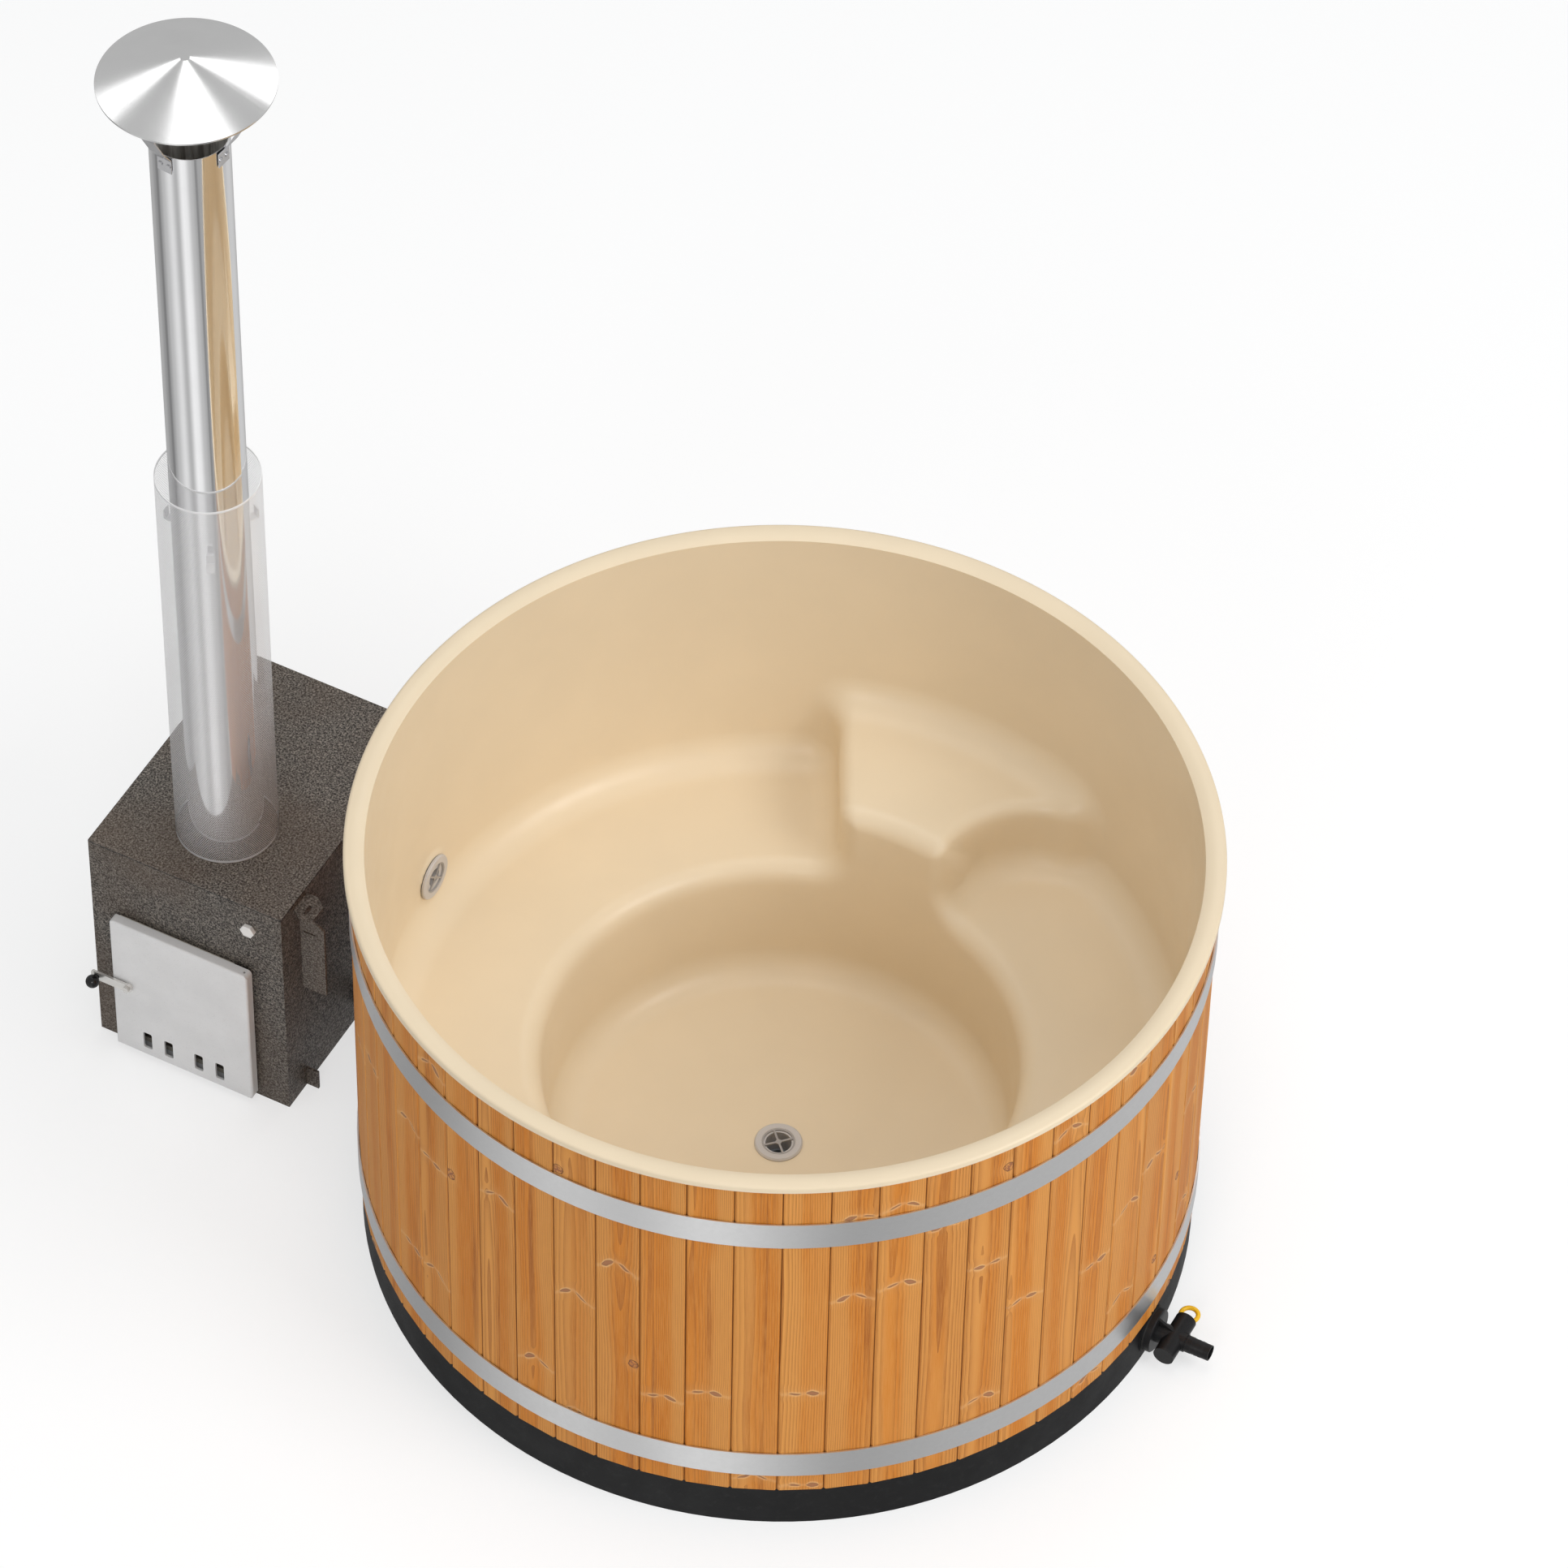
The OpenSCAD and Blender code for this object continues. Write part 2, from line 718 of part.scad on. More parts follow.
module drain_tee() {
  color([0.35, 0.36, 0.37]) difference() {
    union() {
      translate([0, 0, pipe_z]) cylinder(r = tee_r, h = tee_top - pipe_z, $fn = curved);
      translate([0, 0, pipe_z]) along_x(-tee_half)
        cylinder(r = tee_run_r, h = 2 * tee_half, $fn = curved);
    }
    translate([0, 0, tail_low]) cylinder(r = tail_r + touch, h = big, $fn = curved);
    translate([0, 0, pipe_z]) cylinder(r = pipe_r - pipe_wall, h = big, $fn = curved);
    translate([0, 0, pipe_z]) {
      along_x(-big) cylinder(r = pipe_r - pipe_wall, h = 2 * big, $fn = curved);
      along_x(tee_stop) cylinder(r = pipe_r + touch, h = big, $fn = curved);
      along_x(-tee_stop - big) cylinder(r = pipe_r + touch, h = big, $fn = curved);
    }
  }
}

module floor_pipe() {
  translate([0, 0, pipe_z]) along_x(tee_stop) tube(pipe_r, pipe_r - pipe_wall, pipe_end - tee_stop);
}

module drain_pipe() {
  color([0.42, 0.43, 0.44]) floor_pipe();
}

module suction_pipe() {
  color([0.42, 0.43, 0.44]) mirror([1, 0, 0]) floor_pipe();
}

module valve_gasket() {
  color([0.08, 0.08, 0.08]) translate([0, 0, pipe_z]) along_x(boss_face)
    tube(flange_r, tail_r + thread_gap, gasket_thick);
}

module suction_gasket() {
  mirror([1, 0, 0]) valve_gasket();
}

module valve_nut() {
  color([0.2, 0.2, 0.2]) translate([0, 0, pipe_z]) along_x(boss_back - nut_thick)
    ring_nut(tail_r + touch);
}

module suction_nut() {
  mirror([1, 0, 0]) valve_nut();
}

// Flange and threaded tail that clamp the base's wall
module wall_tail() {
  along_x(tail_in) cylinder(r = tail_r, h = flange_in - tail_in, $fn = curved);
  along_x(flange_in) cylinder(r = flange_r, h = flange_thick - 2, $fn = curved);
  along_x(flange_in + flange_thick - 2)
    cylinder(r1 = flange_r, r2 = flange_r - 2, h = 2, $fn = curved);
}

module pipe_socket() {
  along_x(tail_in - over)
    cylinder(r = pipe_r + touch, h = pipe_end + touch - tail_in + over, $fn = curved);
}

// Hose tail of radius r with barbs behind a plain end
module hose_tail(r, from, to, barbs, plain) {
  along_x(from) cylinder(r = r, h = to - from, $fn = curved);
  for (k = [1:barbs])
    along_x(to - plain - k * barb_step)
      cylinder(r1 = r + barb_rise, r2 = r + touch / 4, h = barb_step, $fn = curved);
}

module valve_body() {
  web = 5;
  color([0.1, 0.1, 0.105]) translate([0, 0, pipe_z]) difference() {
    union() {
      wall_tail();
      along_x(flange_out - 1) cylinder(r = valve_r, h = valve_x - flange_out + 1, $fn = curved);
      translate([valve_x, 0, 0]) rotate([90, 0, 0]) translate([0, 0, -valve_half])
        cylinder(r = valve_r, h = 2 * valve_half - end_cap, $fn = curved);
      along_x(valve_x) cylinder(r = hose_tail_r + 3, h = tail_root - valve_x, $fn = curved);
      rotate([90, 0, 0]) translate([0, 0, -web / 2]) linear_extrude(web) difference() {
        polygon([[flange_out - 1, 0], [flange_out - 1, flange_r - 6], [flange_out, flange_r - 6],
          [valve_x + 12, valve_r - 9], [valve_x, 0]]);
        translate([flange_out + 9, flange_r - 18]) circle(r = 2.5, $fn = curved);
      }
    }
    pipe_socket();
    along_x(pipe_end) cylinder(r = waterway_r, h = big, $fn = curved);
    translate([valve_x, 0, 0]) rotate([90, 0, 0]) translate([0, 0, -valve_half - over])
      cylinder(r = piston_bore_r, h = 2 * (valve_half + over), $fn = curved);
    along_x(tail_root - tail_plug)
      cylinder(r = hose_tail_r - plug_step + touch, h = big, $fn = curved);
  }
  drain_tail();
}

// Ribbed tail that is plugged into the valve's side
module drain_tail() {
  collar = valve_tip - tail_tip - 3 * barb_step;
  color([0.1, 0.1, 0.105]) translate([0, 0, pipe_z]) difference() {
    union() {
      along_x(tail_root - tail_plug + touch)
        cylinder(r = hose_tail_r - plug_step, h = tail_plug, $fn = curved);
      along_x(tail_root + touch)
        cylinder(r = hose_tail_r + 1, h = collar - tail_root - touch, $fn = curved);
      hose_tail(hose_tail_r, collar - 1, valve_tip, 3, tail_tip);
    }
    along_x(pipe_end) cylinder(r = waterway_r, h = big, $fn = curved);
  }
}

module at_valve() {
  translate([valve_x, 0, pipe_z]) rotate([-90, 0, 0]) children();
}

module valve_end_cap() {
  color([0.1, 0.1, 0.105]) at_valve() {
    translate([0, 0, -valve_half]) cylinder(r = valve_r, h = end_cap, $fn = curved);
    translate([0, 0, -valve_half + end_cap - 1])
      cylinder(r = piston_bore_r - touch, h = 11, $fn = curved);
  }
}

ring_places = [piston_in + 4, -piston_in - 1, -piston_in + 12];
module drain_piston() {
  color([0.16, 0.16, 0.17]) at_valve() difference() {
    translate([0, 0, piston_in]) cylinder(r = piston_r, h = piston_out - piston_in, $fn = curved);
    for (z = ring_places)
      translate([0, 0, z - 1.5]) tube(piston_r + over, groove_r, 3);
    translate([0, 0, piston_out - 12]) cylinder(r = ring_stem_r + touch, h = big, $fn = curved);
  }
}

module piston_rings() {
  color([0.05, 0.05, 0.05]) at_valve()
    for (z = ring_places)
      translate([0, 0, z - 1.3]) tube(piston_r, groove_r + touch, 2.6);
}

module pull_ring() {
  color([1, 0.73, 0.08]) translate([valve_x, 0, pipe_z]) {
    translate([0, ring_y, 0]) rotate_extrude($fn = curved) translate([ring_r - ring_section / 2, 0])
      circle(r = ring_section / 2, $fn = curved);
    translate([0, piston_out - 11, 0]) rotate([-90, 0, 0])
      cylinder(r = ring_stem_r, h = 16, $fn = curved);
  }
}

module suction_fitting() {
  color([0.14, 0.14, 0.145]) mirror([1, 0, 0]) translate([0, 0, pipe_z]) difference() {
    union() {
      wall_tail();
      hose_tail(water_tail_r, flange_out - 1, barb_end, 2, 0);
    }
    pipe_socket();
    along_x(pipe_end) cylinder(r = water_tail_r - 3, h = big, $fn = curved);
  }
}

// ---- return fitting and hoses ----

module return_fitting() {
  tail_out = return_out + nut_thick + 2;
  color([0.68, 0.67, 0.65]) mirror([1, 0, 0]) translate([0, 0, return_z]) difference() {
    union() {
      along_x(return_face - return_flange) cylinder(r1 = strainer_r - 2, r2 = strainer_r, h = 2,
        $fn = curved);
      along_x(return_face - return_flange + 2)
        cylinder(r = strainer_r, h = return_flange - 2, $fn = curved);
      along_x(return_face - 1) cylinder(r = return_tail_r, h = tail_out - return_face + 1,
        $fn = curved);
      hose_tail(water_tail_r, tail_out - 1, barb_end, 2, 0);
    }
    along_x(0) cylinder(r = recess_r, h = return_face - 2, $fn = curved);
    along_x(0) cylinder(r = water_tail_r + 2, h = return_out, $fn = curved);
    along_x(0) cylinder(r = water_tail_r - 3, h = big, $fn = curved);
  }
}

module return_grille() {
  color([0.6, 0.59, 0.57]) translate([0, 0, return_z]) mirror([1, 0, 0])
    along_x(return_face - 5) spoked_grille(recess_r - touch);
}

module return_gasket() {
  color([0.1, 0.1, 0.1]) mirror([1, 0, 0]) translate([0, 0, return_z]) along_x(return_face)
    tube(strainer_r - 2, return_tail_r + thread_gap, return_pad - return_face);
}

module return_nut() {
  color([0.15, 0.15, 0.15]) mirror([1, 0, 0]) translate([0, 0, return_z]) along_x(return_out)
    difference() {
      cylinder(r = return_tail_r + 13, h = nut_thick, $fn = 8);
      translate([0, 0, -over])
        cylinder(r = return_tail_r + touch, h = nut_thick + 2 * over, $fn = curved);
    }
}

module hose(z) {
  mirror([1, 0, 0]) translate([0, 0, z]) along_x(hose_in + 0.5)
    tube(hose_r, hose_bore + 0.7, hose_end - hose_in - 0.5);
}

module upper_hose() {
  color([0.09, 0.09, 0.09]) hose(return_z);
}

module lower_hose() {
  color([0.09, 0.09, 0.09]) hose(pipe_z);
}

module at_clamps() {
  for (z = [pipe_z, return_z])
    for (x = [clamp_inner, clamp_outer])
      translate([-x - clamp_width, 0, z]) children();
}

screw_z = clamp_r + 4.5;
module hose_clamps() {
  color([0.74, 0.75, 0.76]) at_clamps() {
    along_x(0) tube(clamp_r + 1.2, clamp_r, clamp_width);
    difference() {
      translate([1, -7, clamp_r + 0.6]) cube([clamp_width - 2, 14, 7.4]);
      translate([clamp_width / 2, -over, screw_z]) rotate([-90, 0, 0])
        cylinder(r = 2.7, h = 2 * over, $fn = curved);
    }
  }
}

module clamp_screws() {
  color([0.68, 0.69, 0.7]) at_clamps() translate([clamp_width / 2, -9, screw_z])
    rotate([-90, 0, 0]) {
      cylinder(r = 2.5, h = 18, $fn = curved);
      translate([0, 0, 16]) cylinder(r = 4, h = 4, $fn = 6);
    }
}

// ---- heater ----

module block(x0, x1, y0, y1, z0, z1) {
  translate([x0, y0, z0]) cube([x1 - x0, y1 - y0, z1 - z0]);
}

// The mouth's space, g larger all round
module mouth_block(g, y0, y1) {
  block(mouth_left - g, mouth_right + g, y0, y1, mouth_low - g, mouth_top + g);
}

module heater_casing() {
  plug_x = -(heater_x + plug_in);
  color([0.37, 0.35, 0.33]) difference() {
    union() {
      difference() {
        block(-heater_far, -heater_x, heater_front, heater_back, 0, heater_deck);
        block(-heater_far + sheet, -heater_x - sheet, heater_front + sheet, heater_back - sheet,
          -over, heater_height);
      }
      translate([plug_x, heater_front + sheet - 1, plug_z]) rotate([-90, 0, 0])
        cylinder(r = plug_r + 5, h = 22, $fn = curved);
    }
    mouth_block(sheet, heater_front - over, heater_front + 2 * over);
    translate([plug_x, heater_front - over, plug_z]) rotate([-90, 0, 0])
      cylinder(r = plug_r + touch, h = 6 * over, $fn = curved);
    for (z = [pipe_z, return_z])
      translate([0, 0, z]) along_x(-heater_x - 2 * over)
        cylinder(r = water_tail_r, h = 4 * over, $fn = curved);
  }
}

module heater_top() {
  color([0.38, 0.36, 0.34]) difference() {
    block(-heater_far, -heater_x, heater_front, heater_back, heater_deck, heater_height);
    translate([flue_x, flue_y, 0]) cylinder(r = collar_r + touch, h = big, $fn = curved);
  }
}

module heater_base() {
  color([0.3, 0.28, 0.27]) block(-heater_far + sheet, -heater_x - sheet, heater_front + sheet,
    heater_back - sheet, 0, sheet);
}

module firebox() {
  w = firebox_wall;
  foot = 30;
  rail = 20;
  color([0.3, 0.29, 0.28]) {
    difference() {
      block(-box_far, -box_near, box_front, box_back, firebox_z, firebox_top);
      block(-box_far + w, -box_near - w, box_front + w, box_back - w, firebox_z + w,
        firebox_top - w);
      mouth_block(sheet, box_front - over, box_front + 2 * over);
      translate([flue_x, flue_y, firebox_top - 2 * over])
        cylinder(r = collar_r + touch, h = big, $fn = curved);
    }
    for (x = [-box_far, -box_near - foot])
      for (y = [box_front, box_back - foot])
        block(x, x + foot, y, y + foot, sheet, firebox_z);
    block(-box_far + w, -box_far + w + rail, box_front + 2 * rail, box_back - w, grate_z - 5,
      grate_z);
    block(-box_near - w - rail, -box_near - w, box_front + 2 * rail, box_back - w, grate_z - 5,
      grate_z);
  }
}

module mouth_frame() {
  color([0.26, 0.25, 0.24]) difference() {
    mouth_block(sheet, heater_front, box_front + firebox_wall);
    mouth_block(0, heater_front - over, box_front + 2 * over);
  }
}

module grate() {
  thick = 10;
  left = -box_far + firebox_wall + 2;
  long = box_back - box_front - 2 * firebox_wall - 44;
  wide = box_far - box_near - 2 * firebox_wall - 4;
  front = box_front + 44;
  slots = 9;
  pitch = (wide - 60) / slots;
  color([0.22, 0.22, 0.22]) difference() {
    block(left, left + wide, front, front + long, grate_z, grate_z + thick);
    for (k = [0:slots - 1])
      block(left + 30 + (k + 0.5) * pitch - grate_slot / 2,
        left + 30 + (k + 0.5) * pitch + grate_slot / 2, front + 30, front + long - 30,
        grate_z - over, grate_z + thick + over);
  }
}

module heater_spigots() {
  color([0.34, 0.32, 0.3]) for (z = [pipe_z, return_z])
    mirror([1, 0, 0]) translate([0, 0, z]) along_x(heater_x - spigot_reach)
      tube(water_tail_r, water_tail_r - 3, spigot_reach + sheet + 4);
}

module flue_collar() {
  color([0.3, 0.29, 0.28]) translate([flue_x, flue_y, firebox_top - firebox_wall])
    tube(collar_r, collar_r - collar_wall, collar_top - firebox_top + firebox_wall);
}

module hex_plug() {
  color([0.85, 0.85, 0.84]) translate([-(heater_x + plug_in), heater_front, plug_z])
    rotate([90, 0, 0]) {
      cylinder(r = plug_flats / 2 / cos(30), h = 8, $fn = 6);
      translate([0, 0, 8]) cylinder(r1 = plug_flats / 2 - 1, r2 = plug_flats / 2 - 3, h = 1,
        $fn = curved);
      translate([0, 0, -26]) cylinder(r = plug_r, h = 27, $fn = curved);
    }
}

module tool_hanger() {
  front = heater_front + 36;
  tab_out = 48;
  tab_long = 64;
  plate_in = 22;
  near = -heater_x;
  color([0.37, 0.35, 0.33]) {
    translate([near, front, hanger_z - bracket_sheet]) linear_extrude(bracket_sheet) difference() {
      polygon([[0, 15], [20, 0], [tab_out, 0], [tab_out, tab_long - 18],
        [tab_out - 22, tab_long], [0, tab_long]]);
      translate([21, 14]) square([8, 25]);
    }
    translate([near, front + bracket_sheet, 0]) rotate([90, 0, 0]) linear_extrude(bracket_sheet)
      difference() {
        polygon([[plate_in, hanger_z - hanger_drop], [hanger_out, hanger_z - hanger_drop],
          [hanger_out, hanger_z - 12], [hanger_out - 15, hanger_z], [plate_in, hanger_z]]);
        translate([plate_in + 7, hanger_z - 37]) square([27, bracket_sheet]);
      }
  }
}

module anchor_tab() {
  color([0.37, 0.35, 0.33]) block(-heater_x, -heater_x + 27, heater_front + 70,
    heater_front + 70 + bracket_sheet, 0, tab_height);
}

// ---- chimney ----

module at_flue(z) {
  translate([flue_x, flue_y, z]) children();
}

module chimney_pipe() {
  color([0.78, 0.79, 0.8]) at_flue(heater_height)
    tube(flue_r, flue_r - flue_wall, flue_top - heater_height);
}

module chimney_guard() {
  color([0.7, 0.71, 0.72]) at_flue(heater_height) tube(guard_r, guard_r - guard_wall, guard_height);
}

module guard_clips() {
  strip = 2;
  high = 24;
  inner = flue_r + touch;
  outer = guard_r - guard_wall - touch;
  color([0.7, 0.71, 0.72]) at_flue(guard_top - guard_height / 6) for (k = [0:2])
    rotate([0, 0, 60 + 120 * k]) intersection() {
      tube(outer, inner, high);
      union() {
        translate([0, -8, 0]) cube([big, 16, strip]);
        translate([0, -8, 0]) cube([inner + 3, 16, high]);
        translate([outer - 3, -8, 0]) cube([over, 16, high]);
      }
    }
}

function under_cap(r) = cap_top - (r - cap_flat) * cap_slope - cap_sheet;
leg_foot = flue_r + touch + cap_leg_thick;
leg_tip = cap_r - 20;
leg_path = [[leg_foot, flue_top - 38], [leg_foot, flue_top - 6], [leg_foot + 20, flue_top + 24],
  [leg_foot + 43, flue_top + 70], [leg_tip, under_cap(leg_tip) - cap_seat],
  [leg_tip - 26, under_cap(leg_tip - 26) - cap_seat]];
leg_bends = [0, 6, 6, 12, 4, 0];

module at_cap_legs() {
  at_flue(0) for (k = [0:3])
    rotate([0, 0, -5 + 90 * k]) children();
}

module cap_legs() {
  inside = path(leg_path, leg_bends, -cap_leg_thick);
  last = len(inside) - 1;
  color([0.74, 0.75, 0.76]) at_cap_legs() difference() {
    rotate([90, 0, 0]) linear_extrude(cap_leg_width, center = true)
      polygon(concat(path(leg_path, leg_bends, 0), [for (k = [0:last]) inside[last - k]]));
    at_rivets() cylinder(r = rivet_r + touch, h = 4 * cap_leg_thick, $fn = curved);
  }
}

module at_rivets() {
  for (y = [-9, 9])
    translate([flue_r - 0.4, y, flue_top - 22]) rotate([0, 90, 0]) children();
}

module cap_rivets() {
  color([0.7, 0.71, 0.72]) at_cap_legs() at_rivets() {
    cylinder(r = rivet_r, h = leg_foot - flue_r + 1, $fn = curved);
    translate([0, 0, leg_foot - flue_r + 0.4]) cylinder(r = 2 * rivet_r, h = 2, $fn = curved);
  }
}

module chimney_cap() {
  lip = under_cap(cap_r);
  color([0.82, 0.83, 0.84]) at_flue(0) rotate_extrude($fn = curved)
    polygon([[0, cap_top], [cap_flat, cap_top], [cap_r, cap_z], [cap_r, lip - 2],
      [cap_r - cap_sheet, lip - 2], [cap_r - cap_sheet, under_cap(cap_r - cap_sheet)],
      [cap_flat, cap_top - cap_sheet], [0, cap_top - cap_sheet]]);
}

// ---- door and latch ----

module rounded_plate(w, d, r) {
  difference() {
    square([w, d]);
    for (x = [0, 1])
      for (y = [0, 1])
        translate([x * w, y * d]) mirror([x, 0]) mirror([0, y]) difference() {
          translate([-1, -1]) square(r + 1);
          translate([r, r]) circle(r = r, $fn = curved);
        }
  }
}

// A block along Y with its front edges rounded by two crossed sections
module door_block() {
  r = door_edge;
  intersection() {
    translate([door_left, door_back, door_z]) rotate([90, 0, 0]) linear_extrude(door_thick)
      rounded_plate(door_width, door_height, r + 4);
    translate([door_left, door_front, door_z]) linear_extrude(door_height)
      rounded_plate(door_width, door_thick + 2 * r, r);
    translate([door_left, door_front, door_z]) rotate([90, 0, 90]) linear_extrude(door_width)
      rounded_plate(door_thick + 2 * r, door_height, r);
  }
}

module seal_ring(y0, y1, width) {
  left = door_left + seal_out - width / 2;
  right = mouth_right + sheet + 7 + width / 2;
  low = door_z + seal_out - 1 - width / 2;
  top = door_top - seal_out + 1 + width / 2;
  difference() {
    block(left, right, y0, y1, low, top);
    block(left + width, right - width, y0 - over, y1 + over, low + width, top - width);
  }
}

module pin_line(r, z0, z1) {
  translate([pin_x, pin_y, z0]) cylinder(r = r, h = z1 - z0, $fn = curved);
}

module door() {
  boss_left = pin_x - eye_r - 3;
  lug_room = eye_r + eye_gap;
  color([0.8, 0.8, 0.8]) difference() {
    union() {
      difference() {
        door_block();
        block(door_left + door_wall, door_right - hinge_wall, pocket_front, door_back + over,
          door_z + door_wall, door_top - door_wall);
      }
      difference() {
        block(boss_left, door_right - hinge_wall, pocket_front - 1, door_back,
          door_z + door_wall - 1, door_top - door_wall + 1);
        for (z = [lug_low, lug_high])
          block(boss_left - over, door_right - hinge_wall, pocket_front, door_back + over,
            z - eye_gap, z + lug_height + touch);
      }
      seal_ring(pocket_front - 1, door_back - seal_rib, seal_width + 2);
      translate([spindle_x, pocket_front - 1, spindle_z]) rotate([-90, 0, 0])
        cylinder(r = spindle_r + 5, h = 9, $fn = curved);
    }
    pin_line(pin_r + pin_gap, door_z + 3, door_top + over);
    for (x = [-air_outer, -air_inner, air_inner, air_outer])
      translate([door_mid + x - air_width / 2, door_back + over, door_z + air_up])
        rotate([90, 0, 0]) linear_extrude(door_thick + 2 * over)
          rounded_plate(air_width, air_height, 4);
    translate([spindle_x, door_front - over, spindle_z]) rotate([-90, 0, 0])
      cylinder(r = spindle_r + pin_gap, h = 4 * over, $fn = curved);
  }
}

module door_gasket() {
  color([0.25, 0.24, 0.22]) seal_ring(door_back - seal_rib, heater_front - thread_gap, seal_width);
}

module door_shield() {
  left = spindle_x + 20;
  right = mouth_right - 14;
  low = door_z + air_up + air_height + 16;
  top = mouth_top - 8;
  plate_y = pocket_front + 9;
  color([0.42, 0.41, 0.4]) {
    block(left, right, plate_y, plate_y + sheet, low, top);
    for (x = [left + 15, right - 15])
      for (z = [low + 15, top - 15])
        translate([x, pocket_front, z]) rotate([-90, 0, 0])
          cylinder(r = 5, h = plate_y - pocket_front + 1, $fn = curved);
  }
}

module hinge_lugs() {
  arm = lug_sheet;
  color([0.33, 0.31, 0.3]) for (z = [lug_low, lug_high])
    difference() {
      union() {
        pin_line(eye_r, z, z + lug_height);
        block(lug_foot_x, pin_x, pin_y - arm / 2, pin_y + arm / 2, z, z + lug_height);
        block(lug_foot_x, lug_foot_x + arm, pin_y - arm / 2, heater_front, z, z + lug_height);
      }
      pin_line(pin_r + pin_gap, z - over, z + lug_height + over);
    }
}

module hinge_pin() {
  color([0.6, 0.6, 0.6]) pin_line(pin_r, door_z + 3, door_top - 2);
}

module latch_lever() {
  end_x = spindle_x - lever_length;
  half = lever_width / 2;
  color([0.72, 0.72, 0.72]) translate([0, lever_back, spindle_z]) rotate([90, 0, 0])
    linear_extrude(lever_thick) difference() {
      union() {
        translate([spindle_x, 0]) circle(r = half, $fn = curved);
        polygon([[spindle_x, -half], [spindle_x, half], [end_x + 4, half], [end_x, half - 4],
          [end_x, -half + 4], [end_x + 4, -half]]);
      }
      translate([spindle_x, 0]) circle(r = spindle_r + touch, $fn = curved);
      translate([knob_x, 0]) circle(r = spindle_r, $fn = curved);
    }
}

module latch_spindle() {
  tongue = 11;
  color([0.66, 0.66, 0.66]) translate([spindle_x, 0, spindle_z]) {
    translate([0, lever_front - 1, 0]) rotate([-90, 0, 0])
      cylinder(r = spindle_r, h = tongue_in - lever_front + 1, $fn = curved);
    translate([0, lever_front, 0]) rotate([90, 0, 0]) cylinder(r = 7.5, h = 6, $fn = 6);
    translate([0, tongue_in - 6, 0]) rotate([-90, 0, 0]) {
      cylinder(r = spindle_r + 2, h = 6, $fn = curved);
      translate([-tongue, -4, 0]) cube([tongue, 8, 6]);
    }
  }
}

module latch_washer() {
  color([0.6, 0.6, 0.6]) translate([spindle_x, door_front - touch, spindle_z]) rotate([90, 0, 0])
    tube(9.5, spindle_r + touch, washer_thick - touch);
}

module ball_knob() {
  color([0.05, 0.05, 0.05]) translate([knob_x, 0, spindle_z]) {
    translate([0, knob_y, 0]) sphere(r = knob_r, $fn = curved);
    translate([0, lever_front, 0]) rotate([90, 0, 0]) cylinder(r = 6.5, h = 7, $fn = curved);
    translate([0, lever_back, 0]) rotate([90, 0, 0])
      cylinder(r = spindle_r - touch, h = lever_thick + 6, $fn = curved);
  }
}

base_tray();
supports();
insulation();
liner();
staves();
upper_hoop();
lower_hoop();
hoop_bolts();
hoop_nuts();
strainer_body();
strainer_grille();
strainer_gasket();
strainer_nut();
drain_tee();
drain_pipe();
suction_pipe();
valve_gasket();
valve_body();
valve_nut();
valve_end_cap();
drain_piston();
piston_rings();
pull_ring();
suction_fitting();
suction_gasket();
suction_nut();
return_fitting();
return_grille();
return_gasket();
return_nut();
upper_hose();
lower_hose();
hose_clamps();
clamp_screws();
heater_casing();
heater_top();
heater_base();
firebox();
mouth_frame();
grate();
heater_spigots();
flue_collar();
hex_plug();
tool_hanger();
anchor_tab();
chimney_pipe();
chimney_guard();
guard_clips();
cap_legs();
cap_rivets();
chimney_cap();
door();
door_gasket();
door_shield();
hinge_lugs();
hinge_pin();
latch_lever();
latch_spindle();
latch_washer();
ball_knob();
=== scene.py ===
"""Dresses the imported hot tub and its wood-fired heater: finishes, the moulded bath and the studio.

Everything is in metres in the frame of the CAD model: Z is up, the tub's axis is X = Y = 0 and the
heater stands towards -X. The bath is worked out here as one smooth surface; every other piece is
the CAD solid with its own material.
"""
import math

import bpy
import numpy as np
from bpy.props import FloatProperty, FloatVectorProperty, PointerProperty
from mathutils import Matrix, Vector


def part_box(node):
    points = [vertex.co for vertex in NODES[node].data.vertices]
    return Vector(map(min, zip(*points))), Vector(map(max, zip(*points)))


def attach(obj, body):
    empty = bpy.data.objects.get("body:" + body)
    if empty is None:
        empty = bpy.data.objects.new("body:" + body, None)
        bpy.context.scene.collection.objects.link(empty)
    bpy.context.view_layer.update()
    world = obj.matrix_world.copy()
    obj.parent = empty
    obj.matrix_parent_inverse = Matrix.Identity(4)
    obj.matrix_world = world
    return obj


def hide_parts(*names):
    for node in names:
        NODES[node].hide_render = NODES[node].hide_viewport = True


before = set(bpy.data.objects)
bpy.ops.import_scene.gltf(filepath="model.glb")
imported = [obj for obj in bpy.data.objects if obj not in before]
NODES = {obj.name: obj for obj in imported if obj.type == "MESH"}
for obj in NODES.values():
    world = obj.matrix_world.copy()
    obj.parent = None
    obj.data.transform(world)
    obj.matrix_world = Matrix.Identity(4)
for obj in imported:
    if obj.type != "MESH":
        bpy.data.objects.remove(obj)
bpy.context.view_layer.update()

bl_info = {
    "name": "Wooden hot tub",
    "version": (1, 0, 0),
    "blender": (4, 5, 0),
    "location": "View3D > Sidebar > Hot tub",
    "description": "Finishes a round hot tub with staves, hoops, a moulded bath and a heater",
    "category": "Object",
}

BATH_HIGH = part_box("liner")[1]
PIPE_LOW, PIPE_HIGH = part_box("chimney_pipe")
GUARD_LOW, GUARD_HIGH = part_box("chimney_guard")
HEATER_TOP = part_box("heater_casing")[1].z
TUB_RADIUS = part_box("staves")[1].x

